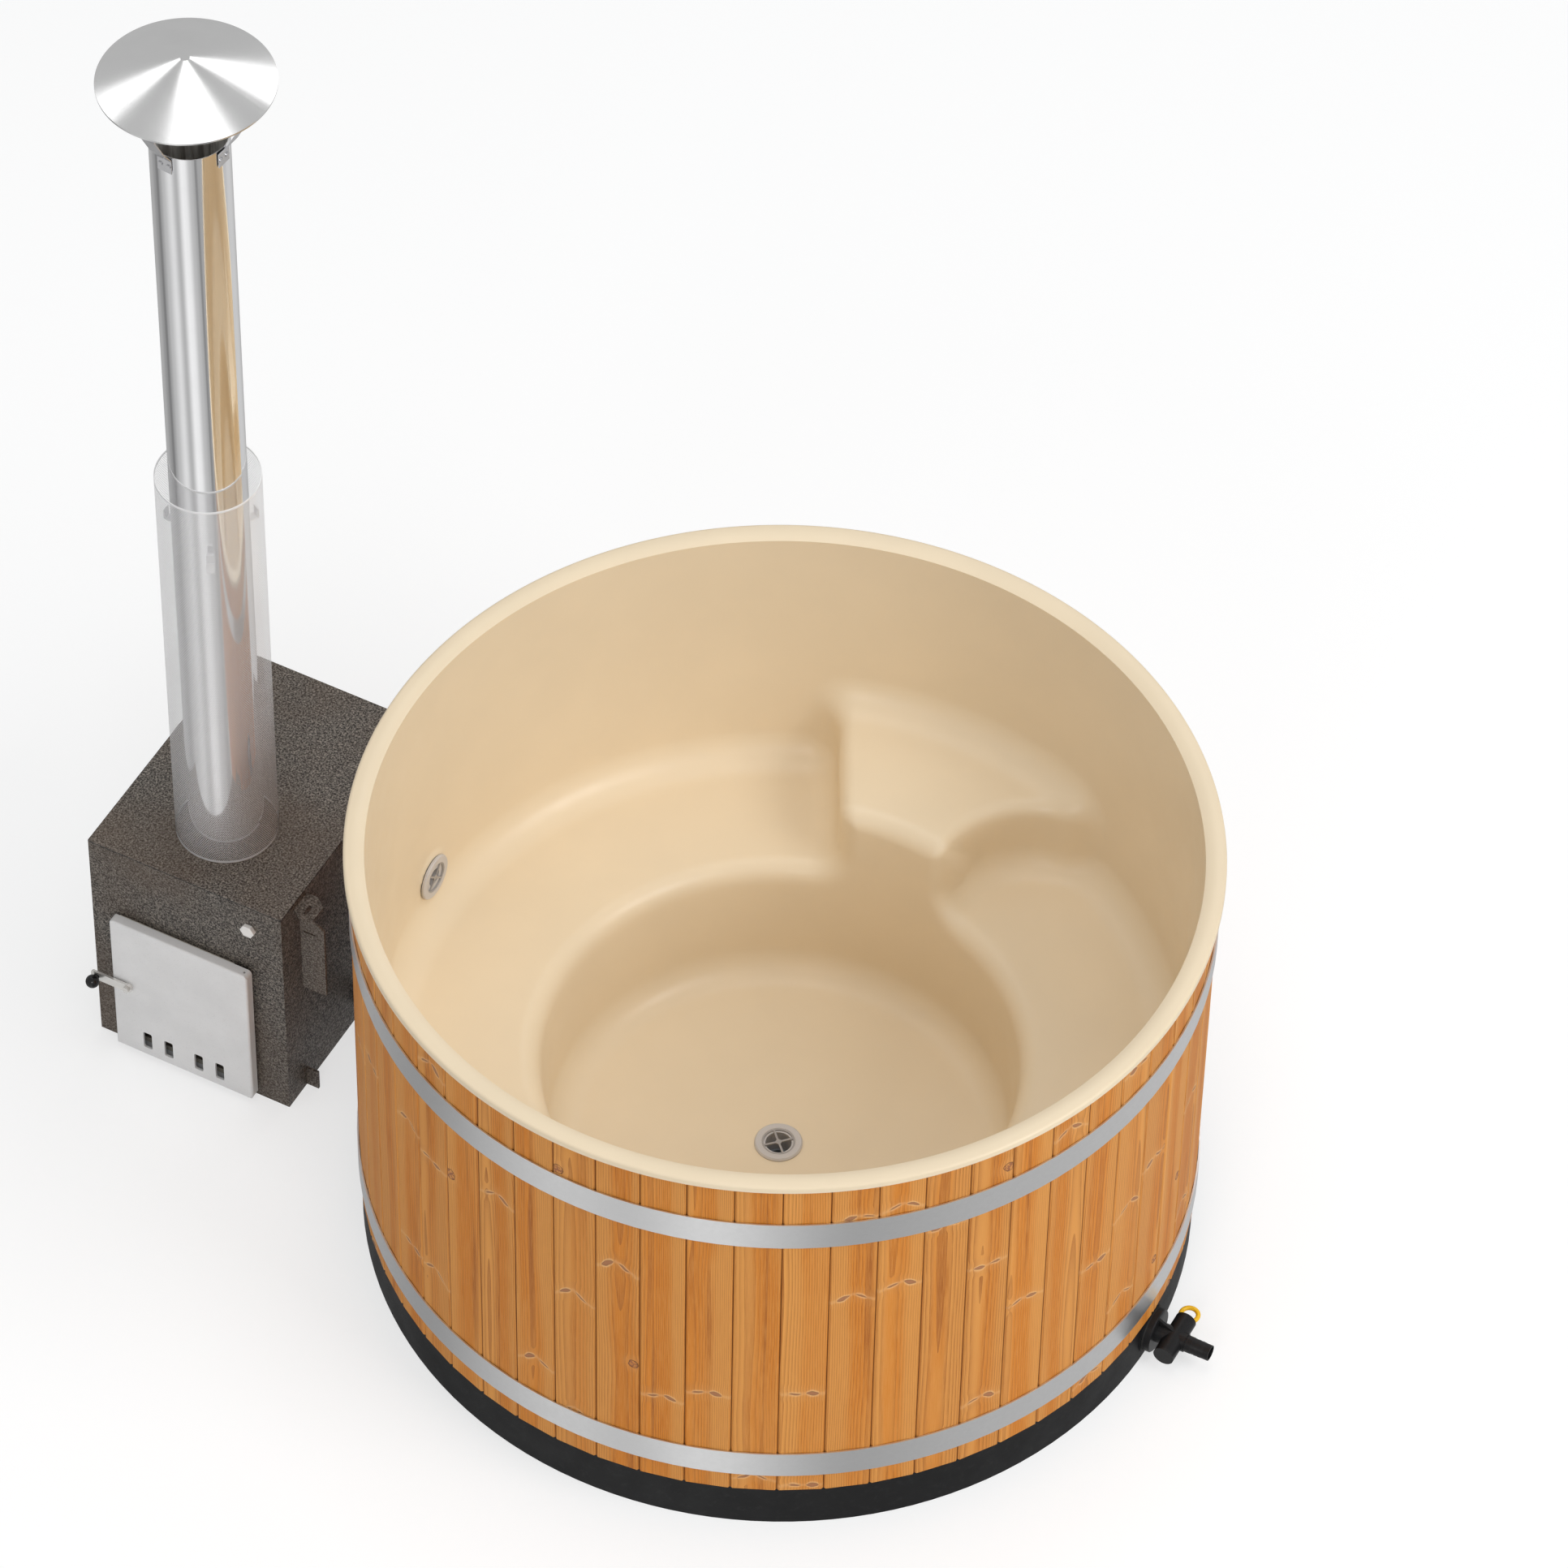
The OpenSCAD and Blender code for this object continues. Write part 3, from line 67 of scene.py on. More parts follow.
# Staves: the direction of one joint between two of them, the length of board that may hold one
# knot, and the shares of these lengths that hold a spike knot and a round knot
STAVE_COUNT = 58
STAVE_PITCH = 2 * math.pi / STAVE_COUNT
STAVE_START = math.radians(-56)
KNOT_STRETCH = 0.34
SPIKE_SHARE = 0.54
ROUND_SHARE = 0.15

# Chimney guard: holes round it, their radius as a share of the distance from hole to hole, the
# plain band at the top and the foot, and the thickness of the sheet
GUARD_HOLES = 160
GUARD_OPEN = 0.42
GUARD_EDGE = 0.004
GUARD_SHEET = 0.0010

# Bath: steps along each ray, the part of the distance that a step takes, where a ray starts, how
# far its eye is above the rim, the height of the turned rim, the reach of the differences that
# give the slope, the underside's one ring in so many, the angle from which an edge is sharp, and
# the fine steps in which the gaps between rings and between columns are counted
MARCH_STEPS = 110
MARCH_SHARE = 0.85
MARCH_START = 0.25
EYE_RISE = 0.21
RIM_BAND = 0.06
SLOPE_REACH = 1e-4
UNDER_SHARE = 4
SHARP = math.radians(50)
RING_STEPS = 6000
COLUMN_STEPS = 8000

# Flat pad round the wall's fitting: it lies beyond this X, with a rounded edge and a fillet. The
# fitting's hole has so many sides
PAD_SIDE = -0.5
PAD_EDGE = 0.004
PAD_FILLET = 0.006
HOLE_SIDES = 48

# Brightness round the horizon that metal mirrors from below, by direction in degrees
STUDIO_BANDS = ((-180, .31), (-167, .20), (-157, .36), (-145, .50), (-121, .75), (-102, .46),
                (-84, .90), (-77, .87), (-60, .52), (-50, .42), (-45, .24), (-38, .38), (0, .48),
                (45, .53), (75, .60), (110, .46), (160, .41), (180, .31))
FLOOR_GLOW = 1.1

# Lamps: place and side. A soft box also has its brightness against the others
KEY_LAMP = ((9.8, -0.6, 8.3), 5.8)
OVERHEAD_LAMP = ((0.4, -0.2, 8.5), 4.0)
SOFT_BOXES = (("front_box", (2.2, -8.0, 5.2), 3.0, 3.6), ("top_box", (-1.65, 1.3, 9.0), 3.2, 1.0),
              ("back_box", (-1.0, 4.9, 6.3), 2.5, 1.0), ("left_box", (-4.9, 1.05, 6.4), 1.6, 1.0))

# Camera, as the photograph's edges give it: its place and its three directions
CAMERA_PLACE = (4.6016, -9.0311, 12.58)
CAMERA_RIGHT = (0.883018, 0.469106, 0.014804)
CAMERA_UP = (-0.358941, 0.654656, 0.665271)
CAMERA_AHEAD = (-0.30239, 0.59276, -0.746455)
CAMERA_SENSOR = 36
CAMERA_CLIP = (0.5, 200)


def srgb(red, green, blue):
    """A colour written in 0 to 255 as the linear values that Blender wants."""
    level = np.array([red, green, blue]) / 255
    return tuple(np.where(level < 0.04045, level / 12.92, ((level + 0.055) / 1.055) ** 2.4))


# ---- what a user would change ----

def length(name, about, default):
    return FloatProperty(name=name, description=about, default=default, min=0, unit="LENGTH",
                         subtype="DISTANCE")


def colour(name, about, default):
    return FloatVectorProperty(name=name, description=about, default=default, size=3, min=0,
                               max=1, subtype="COLOR")


class BathShape(bpy.types.PropertyGroup):
    """Sizes of the moulded bath."""
    rim_radius: length("Rim radius", "Outer radius of the rim", BATH_HIGH.x)
    height: length("Height", "Top of the rim above the floor", BATH_HIGH.z)
    rim_width: length("Rim width", "Width of the flat rim", 0.040)
    lip: length("Lip", "How far the lip hangs over the staves", 0.014)
    rim_edge: length("Rim edge", "Radius of the rim's two edges", 0.005)
    wall: length("Wall", "Thickness of the moulded sheet", 0.006)
    seat_height: length("Seat height", "Seat above the ground", 0.425)
    draft: length("Wall draft", "How far the wall leans out from seat to rim", 0.017)
    seat_fillet: length("Seat fillet", "Radius between seat and wall", 0.070)
    nose: length("Seat nose", "Radius of the seat's front edge", 0.040)
    floor_height: length("Floor height", "Floor of the foot well above the ground", 0.140)
    well_radius: length("Foot well radius", "Radius of the foot well at its floor", 0.455)
    well_flare: length("Foot well flare", "How far its wall leans out", 0.017)
    well_fillet: length("Foot well fillet", "Radius between floor and foot well wall", 0.060)
    step_height: length("Step height", "Entry step above the ground", 0.595)
    step_side: length("Step side", "Distance of the step's flat side from the axis", 0.118)
    step_turn: FloatProperty(name="Step turn", description="Direction that the flat side faces",
                             default=math.radians(28.3), subtype="ANGLE")
    cup_x: length("Cup centre X", "Centre of the step's hollow side", 0.295)
    cup_y: length("Cup centre Y", "Centre of the step's hollow side", 0.503)
    cup_radius: length("Cup radius", "Radius of the step's hollow side", 0.186)
    step_fillet: length("Step fillet", "Radius between seat and step", 0.058)
    step_nose: length("Step nose", "Radius of the step's side edges", 0.032)
    drain_hole: length("Drain hole", "Radius of the hole in the floor", 0.0303)
    return_hole: length("Return hole", "Radius of the hole in the wall", 0.0243)
    return_height: length("Return height", "Height of the hole in the wall", 0.515)
    pad_radius: length("Pad radius", "Flat spot round the wall's fitting", 0.052)
    pad_depth: length("Pad depth", "How far the flat spot stands in from the wall", 0.0045)


class Finishes(bpy.types.PropertyGroup):
    """Colours of the main surfaces."""
    bath: colour("Bath", "Moulded bath", srgb(235, 217, 187))
    wood_pale: colour("Pale wood", "Pale wood between the growth rings", srgb(224, 156, 78))
    wood_mid: colour("Wood", "Middle tone of the staves", srgb(213, 129, 37))
    wood_dark: colour("Dark wood", "Dark heart streaks", srgb(150, 80, 24))
    knot: colour("Knot", "Cores of the knots", srgb(150, 94, 66))
    base: colour("Base", "Black base", srgb(22, 22, 23))
    paint: colour("Heater paint", "Hammered heater paint", srgb(106, 100, 93))
    ring: colour("Pull ring", "Ring of the drain valve", srgb(255, 202, 34))


class Studio(bpy.types.PropertyGroup):
    """Floor, light and camera."""
    floor: colour("Floor", "Colour of the floor", (0.97, 0.98, 0.985))
    sky: FloatProperty(name="Sky", description="Strength of the soft light from all round",
                       default=0.43, min=0)
    mirror: FloatProperty(name="Mirrored sky", description="Brightness of the sky in reflections",
                          default=0.55, min=0)
    key: FloatProperty(name="Key lamp", description="Power of the lamp at the right", default=600,
                       min=0, unit="POWER")
    boxes: FloatProperty(name="Soft boxes", description="Brightness of the soft boxes", default=4.0,
                         min=0)
    overhead: FloatProperty(name="Overhead", description="Power of the lamp above", default=118,
                            min=0, unit="POWER")
    lift: FloatProperty(name="Floor lift", description="Share of plain white that the camera "
                        "sees in the floor", default=0.55, min=0, max=1)
    lens: FloatProperty(name="Lens", description="Focal length on a 36 mm frame", default=185.6,
                        unit="CAMERA")
    floor_size: length("Floor size", "Side of the square floor", 120)


# ---- materials ----

def math_method(operation, flipped=False):
    """A method that adds one Math node, flipped where the number stands on the left."""
    if flipped:
        return lambda self, other: self.nodes.math(operation, other, self)
    return lambda self, *other: self.nodes.math(operation, self, *other)


class Wire:
    """A node's output. Arithmetic on it adds Math nodes, with numbers on either side."""

    def __init__(self, nodes, socket):
        self.nodes, self.socket = nodes, socket

    __add__ = __radd__ = math_method("ADD")
    __sub__, __rsub__ = math_method("SUBTRACT"), math_method("SUBTRACT", flipped=True)
    __mul__ = __rmul__ = math_method("MULTIPLY")
    __truediv__ = math_method("DIVIDE")
    __pow__ = math_method("POWER")
    __mod__ = math_method("FLOORED_MODULO")
    __lt__, __gt__ = math_method("LESS_THAN"), math_method("GREATER_THAN")
    __abs__, __floor__ = math_method("ABSOLUTE"), math_method("FLOOR")
    wave = math_method("SINE")


class Nodes:
    """Adds nodes to one tree."""

    def __init__(self, tree):
        self.tree = tree

    def fill(self, socket, value):
        """Links a wire to a socket, or sets the socket's own number or colour."""
        if isinstance(value, Wire):
            self.tree.links.new(value.socket, socket)
        elif socket.type == "RGBA" and len(value) == 3:
            socket.default_value = (*value, 1)
        else:
            socket.default_value = value

    def node(self, kind, settings=None, sockets=None, out=0):
        """Adds one node of any type: its settings first, then its sockets; returns one output."""
        made = self.tree.nodes.new(kind)
        for key, value in (settings or {}).items():
            setattr(made, key, value)
        for key, value in (sockets or {}).items():
            self.fill(made.inputs[key], value)
        return None if out is None else Wire(self, made.outputs[out])

    def math(self, operation, *values):
        return self.node("ShaderNodeMath", {"operation": operation}, dict(enumerate(values)))

    def vector(self, x, y, z):
        return self.node("ShaderNodeCombineXYZ", {}, {0: x, 1: y, 2: z})

    def parts(self, kind, whole):
        """The three parts of a vector or a colour."""
        return [self.node("ShaderNodeSeparate" + kind, {}, {0: whole}, out) for out in (0, 1, 2)]

    def noise(self, at, scale, detail=2.0, roughness=0.5, distortion=0.0):
        return self.node("ShaderNodeTexNoise", {}, {
            "Vector": at, "Scale": scale, "Detail": detail, "Roughness": roughness,
            "Distortion": distortion})

    def chances(self, at):
        """Three random values from 0 to 1 for each number."""
        return self.parts("Color", self.node(
            "ShaderNodeTexWhiteNoise", {"noise_dimensions": "1D"}, {"W": at}, "Color"))

    def smooth(self, value, low, high, start=0.0, end=1.0):
        """A soft step from start at low to end at high."""
        return self.node("ShaderNodeMapRange", {"interpolation_type": "SMOOTHSTEP"}, {
            "Value": value, "From Min": low, "From Max": high, "To Min": start, "To Max": end})

    def near(self, value, full, none):
        """One up to the distance full, falling softly to nought at the distance none."""
        return self.smooth(value, full, none, 1.0, 0.0)

    def blend(self, share, first, second):
        return self.node("ShaderNodeMix", {"data_type": "RGBA"}, {0: share, 6: first, 7: second},
                         2)

    def bump(self, height, depth, strength=1.0):
        """Relief of a height from 0 to 1, with the depth in metres."""
        return self.node("ShaderNodeBump", {}, {
            "Height": height, "Distance": depth, "Strength": strength})


class Finish(Nodes):
    """A material: constants on the shader's sockets, and patterns from Object coordinates."""

    def __init__(self, name, **constants):
        self.material = bpy.data.materials.new(name)
        self.material.use_nodes = True
        super().__init__(self.material.node_tree)
        self.shader = self.tree.nodes["Principled BSDF"]
        self.wear(**constants)
        self.place = self.node("ShaderNodeTexCoord", out="Object")
        self.x, self.y, self.z = self.parts("XYZ", self.place)

    def wear(self, **sockets):
        """Fills the shader's sockets, named with _ for a space, and returns the material."""
        for socket, value in sockets.items():
            self.fill(self.shader.inputs[socket.replace("_", " ")], value)
        return self.material

    def stretched(self, scales, detail, roughness=0.5, distortion=0.0):
        """Noise with its own scale along each axis."""
        at = self.vector(self.x * scales[0], self.y * scales[1], self.z * scales[2])
        return self.noise(at, 1, detail, roughness, distortion)

    def about(self, low, high):
        """X, Y and the distance from the upright axis through a box's middle."""
        x, y = self.x - (low.x + high.x) / 2, self.y - (low.y + high.y) / 2
        return x, y, (x * x + y * y) ** 0.5


def scaled(tone, share):
    """A colour made darker, or paler with a share above one."""
    return tuple(value * share for value in tone)


def moulded(name, tone, grain=900.0, depth=0.00012, roughness=0.42, mottle=0.10, dust=0.0,
            shine=1.46):
    """Moulded plastic: faint cloudy tone, a fine leathery grain and patchy gloss."""
    look = Finish(name, IOR=shine)
    cloud = look.noise(look.place, scale=5, detail=3)
    fine = look.noise(look.place, scale=grain, detail=2, roughness=0.6)
    shade = look.blend(look.smooth(cloud, 0.3, 0.7), scaled(tone, 1 - mottle), tone)
    if dust:
        film = look.noise(look.place, scale=60, detail=4, roughness=0.7)
        pale = tuple(value + dust * (1 - value) for value in tone)
        shade = look.blend(look.smooth(film, 0.5, 0.8), shade, pale)
    gloss = look.smooth(look.noise(look.place, scale=14, detail=4), 0.25, 0.75,
                        roughness - 0.05, roughness + 0.06)
    return look.wear(Base_Color=shade, Roughness=gloss + (fine - 0.5) * 0.05,
                     Normal=look.bump(fine, depth))


def metal(name, tone, roughness=0.3, hairs=(60.0, 60.0, 1400.0), depth=0.00002, stain=0.12,
          metallic=1.0):
    """Bare metal: hairlines along one direction, slow stains and small changes of gloss."""
    look = Finish(name, Metallic=metallic, IOR=1.6)
    line = look.stretched(hairs, detail=3, roughness=0.6)
    slow = look.noise(look.place, scale=7, detail=4, roughness=0.6)
    gloss = look.smooth(slow, 0.2, 0.8, roughness - 0.05, roughness + 0.05)
    return look.wear(
        Base_Color=look.blend(look.smooth(slow, 0.3, 0.75), tone, scaled(tone, 1 - stain)),
        Roughness=gloss + (line - 0.5) * 0.14, Normal=look.bump(line, depth))


def polished_pipe(name, tone):
    """Bright rolled steel with fine lines across it outside, and inside a dull face with pale
    painted reflection stripes.
    """
    look = Finish(name, IOR=1.6)
    skin = 0.0004
    radius = look.about(PIPE_LOW, PIPE_HIGH)[2]
    inside = radius < (PIPE_HIGH.x - PIPE_LOW.x) / 2 - skin
    line = look.stretched((5, 5, 1200), detail=3, roughness=0.6)
    slow = look.noise(look.place, scale=7, detail=4, roughness=0.6)
    # painted reflection: the inside is near-white with paler and greyer vertical stripes
    reflection_stripes = look.stretched((90, 90, 6), detail=3)
    shade = look.blend(look.smooth(slow, 0.3, 0.75), tone, scaled(tone, 0.97))
    painted_reflection_inside = look.blend(look.smooth(reflection_stripes, 0.35, 0.65), srgb(250, 249, 246), srgb(170, 166, 162))
    gloss = look.smooth(slow, 0.2, 0.8, 0.02, 0.12) + (line - 0.5) * 0.14 + inside * 0.3
    return look.wear(Base_Color=look.blend(inside, shade, painted_reflection_inside), Metallic=1 - inside * 0.75,
                     Roughness=gloss, Normal=look.bump(line, 0.000004))


def galvanised(name, tone):
    """Zinc-coated strip: soft spangle, faint rolling lines and a dull satin gloss."""
    look = Finish(name, Metallic=0.95, IOR=1.5)
    spangle = look.node("ShaderNodeTexVoronoi", {}, {"Vector": look.place, "Scale": 130.0},
                        "Color")
    flake = look.node("ShaderNodeSeparateColor", {}, {0: spangle})
    rolled = look.stretched((6, 6, 900), detail=2)
    fine = look.noise(look.place, scale=700, detail=2)
    cloud = look.noise(look.place, scale=5, detail=3)
    return look.wear(Base_Color=look.blend(flake * 0.30 + cloud * 0.5, tone, scaled(tone, 0.93)),
                     Roughness=0.27 + flake * 0.05 + rolled * 0.06,
                     Normal=look.bump(rolled * 0.5 + fine * 0.5, 0.00004))


def hammered_paint(name, tone):
    """Hammer-finish enamel: close dark pits between paler pebbles a few millimetres across.

    The highest pebbles carry a painted highlight, much paler than the paint, slow clouds are tinted
    brown, and a dark line runs where the top plate meets the box.
    """
    look = Finish(name, IOR=1.5)
    pebble = look.noise(look.place, scale=270, detail=1.5, roughness=0.55, distortion=0.6)
    fleck = look.noise(look.place, scale=700, detail=2, roughness=0.6)
    slow = look.noise(look.place, scale=3.5, detail=3)
    pits = look.smooth(pebble * 0.72 + fleck * 0.28, 0.43, 0.53)
    shade = look.blend(pits, scaled(tone, 0.16), tone)
    # painted highlight: the highest pebbles are made 1.9 times paler than the paint
    highlit_pebbles = look.blend(look.smooth(pebble, 0.55, 0.66), shade, scaled(tone, 1.9))
    tinted = look.blend(look.smooth(slow, 0.35, 0.7), highlit_pebbles,
                        look.blend(0.5, highlit_pebbles, srgb(94, 76, 60)))
    joint = abs(look.z - HEATER_TOP) + (pebble - 0.5) * 0.004
    tinted = look.blend(look.smooth(joint, 0.0006, 0.0026, 0.85, 0), tinted, srgb(18, 16, 15))
    return look.wear(Base_Color=tinted, Roughness=look.smooth(pebble, 0.4, 0.6, 0.62, 0.42),
                     Normal=look.bump(pits, 0.00035, 0.8))


def rubber(name, tone, roughness=0.6):
    """Rubber: dull, with a fine bloom and small moulding specks."""
    look = Finish(name, IOR=1.5)
    bloom = look.noise(look.place, scale=40, detail=4, roughness=0.65)
    speck = look.noise(look.place, scale=900, detail=2)
    pale = tuple(value + 0.012 for value in tone)
    return look.wear(Base_Color=look.blend(look.smooth(bloom, 0.45, 0.75), tone, pale),
                     Roughness=look.smooth(bloom, 0.2, 0.8, roughness - 0.08, roughness + 0.08),
                     Normal=look.bump(speck, 0.0001))


def cast_iron(name, tone, depth=0.0002):
    """Cast and coated iron: sand texture, faint clouds and softened gloss."""
    look = Finish(name, Metallic=0.15, IOR=1.5)
    sand = look.noise(look.place, scale=420, detail=3, roughness=0.6)
    slow = look.noise(look.place, scale=9, detail=4, roughness=0.6)
    shade = look.blend(look.smooth(slow, 0.3, 0.75), tone, scaled(tone, 0.93))
    shade = look.blend(look.smooth(sand, 0.60, 0.75), shade, scaled(tone, 0.82))
    return look.wear(Base_Color=shade, Roughness=look.smooth(sand, 0.3, 0.7, 0.40, 0.52),
                     Normal=look.bump(sand, depth, 0.6))


def sawn_timber(name, pale, dark):
    """Plain sawn timber: grain along X, and saw marks across it."""
    look = Finish(name, IOR=1.45)
    grain = look.stretched((6, 150, 60), detail=4, roughness=0.6, distortion=0.3)
    saw = look.stretched((300, 4, 4), detail=2)
    return look.wear(Base_Color=look.blend(look.smooth(grain, 0.35, 0.65), pale, dark),
                     Roughness=0.62 + grain * 0.15,
                     Normal=look.bump(grain * 0.7 + saw * 0.3, 0.0004))


def foam(name, tone):
    """Sprayed foam: open cells and a crusty yellow skin."""
    look = Finish(name, IOR=1.4)
    cells = look.node("ShaderNodeTexVoronoi", {}, {"Vector": look.place, "Scale": 260.0})
    slow = look.noise(look.place, scale=18, detail=4, roughness=0.6)
    return look.wear(Base_Color=look.blend(look.smooth(slow, 0.3, 0.7), tone, scaled(tone, 0.8)),
                     Roughness=0.8 + slow * 0.1,
                     Normal=look.bump(cells * 0.4 + slow * 0.6, 0.001))


def rope(name, tone):
    """Braided ceramic rope: two crossing sets of strands and loose fibres."""
    look = Finish(name, IOR=1.4)
    strands = 900
    strand = ((look.x + look.z) * strands).wave() * ((look.x - look.z) * strands).wave()
    fibre = look.noise(look.place, scale=1500, detail=3)
    return look.wear(
        Base_Color=look.blend(look.smooth(strand, -0.6, 0.6), scaled(tone, 0.6), tone),
        Roughness=0.85 + fibre * 0.1, Normal=look.bump(strand + fibre, 0.0006))


def stave_wood(tones):
    """Thermally treated softwood boards round the tub.

    The angle about the axis gives each board its number and the place across it. Each board has
    fine growth rings (distances from a heart line beside it), a brown core band with dark heart
    streaks, and a chance of a knot in each stretch of its length: either a spike knot, a bent
    line across the board with a lens-shaped core on one or both sides, or a round knot near an
    edge with the grain pushed aside. A dark line marks the joint to the next board.
    """
    look = Finish("stave_wood", IOR=1.3)
    board_width = STAVE_PITCH * TUB_RADIUS
    count = (look.math("ARCTAN2", look.y, look.x) - STAVE_START) / STAVE_PITCH
    board = math.floor(count) % STAVE_COUNT
    across = (count - math.floor(count) - 0.5) * board_width
    # a shifted number gives other draws for the same board or knot
    luck, other = look.chances(board), look.chances(board + 71.5)
    along = look.z + luck[0] * 9

    def grain(across_scale, along_scale, seed, detail=2, roughness=0.5):
        """Noise in a board's own directions; the seed sets the boards or the knots apart."""
        at = look.vector(across * across_scale, along * along_scale, seed)
        return look.noise(at, 1, detail, roughness)

    # each stretch of board draws its knot's kind and place; rise is the way to it along the board
    stretch = along / KNOT_STRETCH + luck[1]
    cell = math.floor(stretch) + board * 31
    fate, more = look.chances(cell), look.chances(cell + 0.37)
    spiked, rounded = fate[2] > 1 - SPIKE_SHARE, fate[2] < ROUND_SHARE
    rise = (stretch - math.floor(stretch) - 0.3 - fate[0] * 0.4) * KNOT_STRETCH
    ripple = grain(90, 90, board) - 0.5
    wander = grain(34, 34, cell, detail=1) - 0.5

    # spike knots: the distance from a bent line, less the half width of its lenses
    lens_middle, lens_half = 0.017, 0.013
    side = across + (fate[1] - 0.5) * 0.016
    reach = abs(side)
    line = rise + reach * (more[0] * 0.9 - 0.05) + wander * 0.014
    wing = (reach - lens_middle) / lens_half
    lens = look.math("MAXIMUM", 1 - wing * wing, 0)
    lens = lens * look.smooth(side * (more[1] - 0.5), -0.0002, 0.0002, 0.45, 1.0)
    beside = abs(line) - lens * (0.0028 + more[2] * 0.0034) + ripple * 0.0016
    filled = look.smooth(lens, 0.0, 0.4) * spiked
    edge = look.near(beside, 0.0006, 0.0075) * (spiked * 0.40 + filled * 0.60)
    heartwood = look.near(beside, -0.0010, 0.0006) * filled
    outline = look.near(abs(beside), 0.0002, 0.0014) * filled
    near_spike = look.near(abs(line), 0.0, 0.035) * spiked

    # round knots: the distance from a point near one edge of the board, less the knot's radius
    from_middle = 0.033
    off = across - look.math("SIGN", more[2] - 0.5) * from_middle
    gap = (off * off + rise * rise * 0.8) ** 0.5 + ripple * 0.008
    grainy = grain(170, 170, cell)
    size = 0.0080 + fate[1] * 0.0040
    disc = look.near(gap - size, -0.0012, 0.0012) * rounded
    bark = look.near(abs(gap - size), 0.0003, 0.0016) * rounded \
        * look.smooth(ripple, -0.30, 0.05, 0.4, 1.0)
    halo = look.near(gap, 0.006, 0.034) * rounded

    # growth rings, pushed aside round the knots
    bend = grain(7, 1.5, other[2] * 40) - 0.5
    heart = across + (luck[1] - 0.5) * 0.12 + bend * 0.024 - halo * off * 0.45
    depth = 0.006 + luck[2] * 0.03 \
        + look.noise(look.vector(0.5, along * 0.8, board), scale=1, detail=1) * 0.02
    rings_per_metre = 205 + other[1] * 110
    ring = ((heart * heart + depth * depth) ** 0.5 + near_spike * abs(line) * 0.10) \
        * rings_per_metre
    late = (ring - math.floor(ring)) ** 1.8

    # fibres, and the brown core band with its streaks
    fibres = grain(1200, 13, board, detail=3, roughness=0.65)
    slow = grain(14, 1.6, board)
    streak = look.noise(look.vector(across * 62 + luck[0] * 9, along * 1.1, board), 1, 2, 0.5, 0.3)
    thread = grain(230, 2.4, board, detail=3, roughness=0.6) - 0.5
    band = abs(across + (other[0] - 0.5) * 0.036 + bend * 0.05) + thread * 0.024 \
        - other[2] * 0.016
    core = look.near(band, 0.004, 0.024) \
        * look.smooth(slow + (other[1] - 0.5) * 0.3, 0.28, 0.58, 0.45, 1.0)

    tone = look.blend(core, tones["pale"], tones["mid"])
    tone = look.blend(luck[2] * 0.16, tone, tones["dark"])
    tone = look.blend(late * (0.50 + luck[0] * 0.30), tone, tones["dark"])
    tone = look.blend(look.smooth(streak + thread * 0.2, 0.56, 0.72, 0.0, 0.80) * core, tone,
                      tones["dark"])
    tone = look.blend(look.smooth(fibres, 0.42, 0.62, 0.0, 0.45), tone, tones["pale"])
    tone = look.blend(near_spike * 0.18 + halo * 0.28, tone, srgb(222, 162, 96))
    tone = look.blend(edge * 0.60, tone, srgb(234, 190, 136))
    tone = look.blend(heartwood * 0.80, tone, tones["knot"])
    tone = look.blend(outline * 0.55, tone, srgb(96, 56, 36))
    tone = look.blend(disc * look.smooth(grainy, 0.42, 0.58, 0.15, 0.95), tone, tones["knot"])
    tone = look.blend(bark * 0.80, tone, srgb(84, 50, 36))
    joint = look.smooth(abs(across), board_width * 0.480, board_width * 0.497, 0, 0.75)
    tone = look.blend(joint, tone, srgb(84, 44, 20))
    relief = fibres * 0.4 + late * 0.35 + edge * 0.5
    return look.wear(Base_Color=tone, Roughness=0.50 + fibres * 0.10 - late * 0.05,
                     Normal=look.bump(relief, 0.00025, 0.7))


def perforated_sheet(name, tone):
    """Stainless mesh: round holes in offset rows, cut by Alpha, between plain edges.

    A hole is where the distance to the middle of its cell, in two grids half a cell apart, is
    below a share of the cell. Only the outer face shows between the edges, as one thin screen.
    """
    look = Finish(name)
    radius = (GUARD_HIGH.x - GUARD_LOW.x) / 2
    pitch = 2 * math.pi * radius / GUARD_HOLES
    side_x, side_y, distance = look.about(GUARD_LOW, GUARD_HIGH)
    outer = distance > radius - GUARD_SHEET / 2
    turn = look.math("ARCTAN2", side_y, side_x) / (2 * math.pi)
    row = math.sqrt(3)
    gaps = []
    for shift in (0.0, 0.5):
        side = (turn * GUARD_HOLES + shift) % 1.0 - 0.5
        rise = ((look.z / (pitch * row) + shift) % 1.0 - 0.5) * row
        gaps.append((side ** 2 + rise ** 2) ** 0.5)
    mesh = look.math("MINIMUM", *gaps) > GUARD_OPEN
    edge = abs(look.z - (GUARD_LOW.z + GUARD_HIGH.z) / 2) \
        > (GUARD_HIGH.z - GUARD_LOW.z) / 2 - GUARD_EDGE
    stain = look.noise(look.place, scale=9, detail=3)
    # painted highlight: the inner face of the plain bands is white and not metallic, standing in for
    # bright rims
    painted_highlight_band = edge * (1 - outer)
    shade = look.blend(stain * 0.2, tone, scaled(tone, 0.92))
    return look.wear(Base_Color=look.blend(painted_highlight_band, shade, srgb(252, 252, 252)),
                     Metallic=0.25 - painted_highlight_band * 0.25, Roughness=0.30 + stain * 0.06,
                     Alpha=look.math("MAXIMUM", outer * mesh, edge))


# ---- surfaces ----

def place_object(name, data):
    """A new object in the scene."""
    made = bpy.data.objects.new(name, data)
    bpy.context.scene.collection.objects.link(made)
    return made


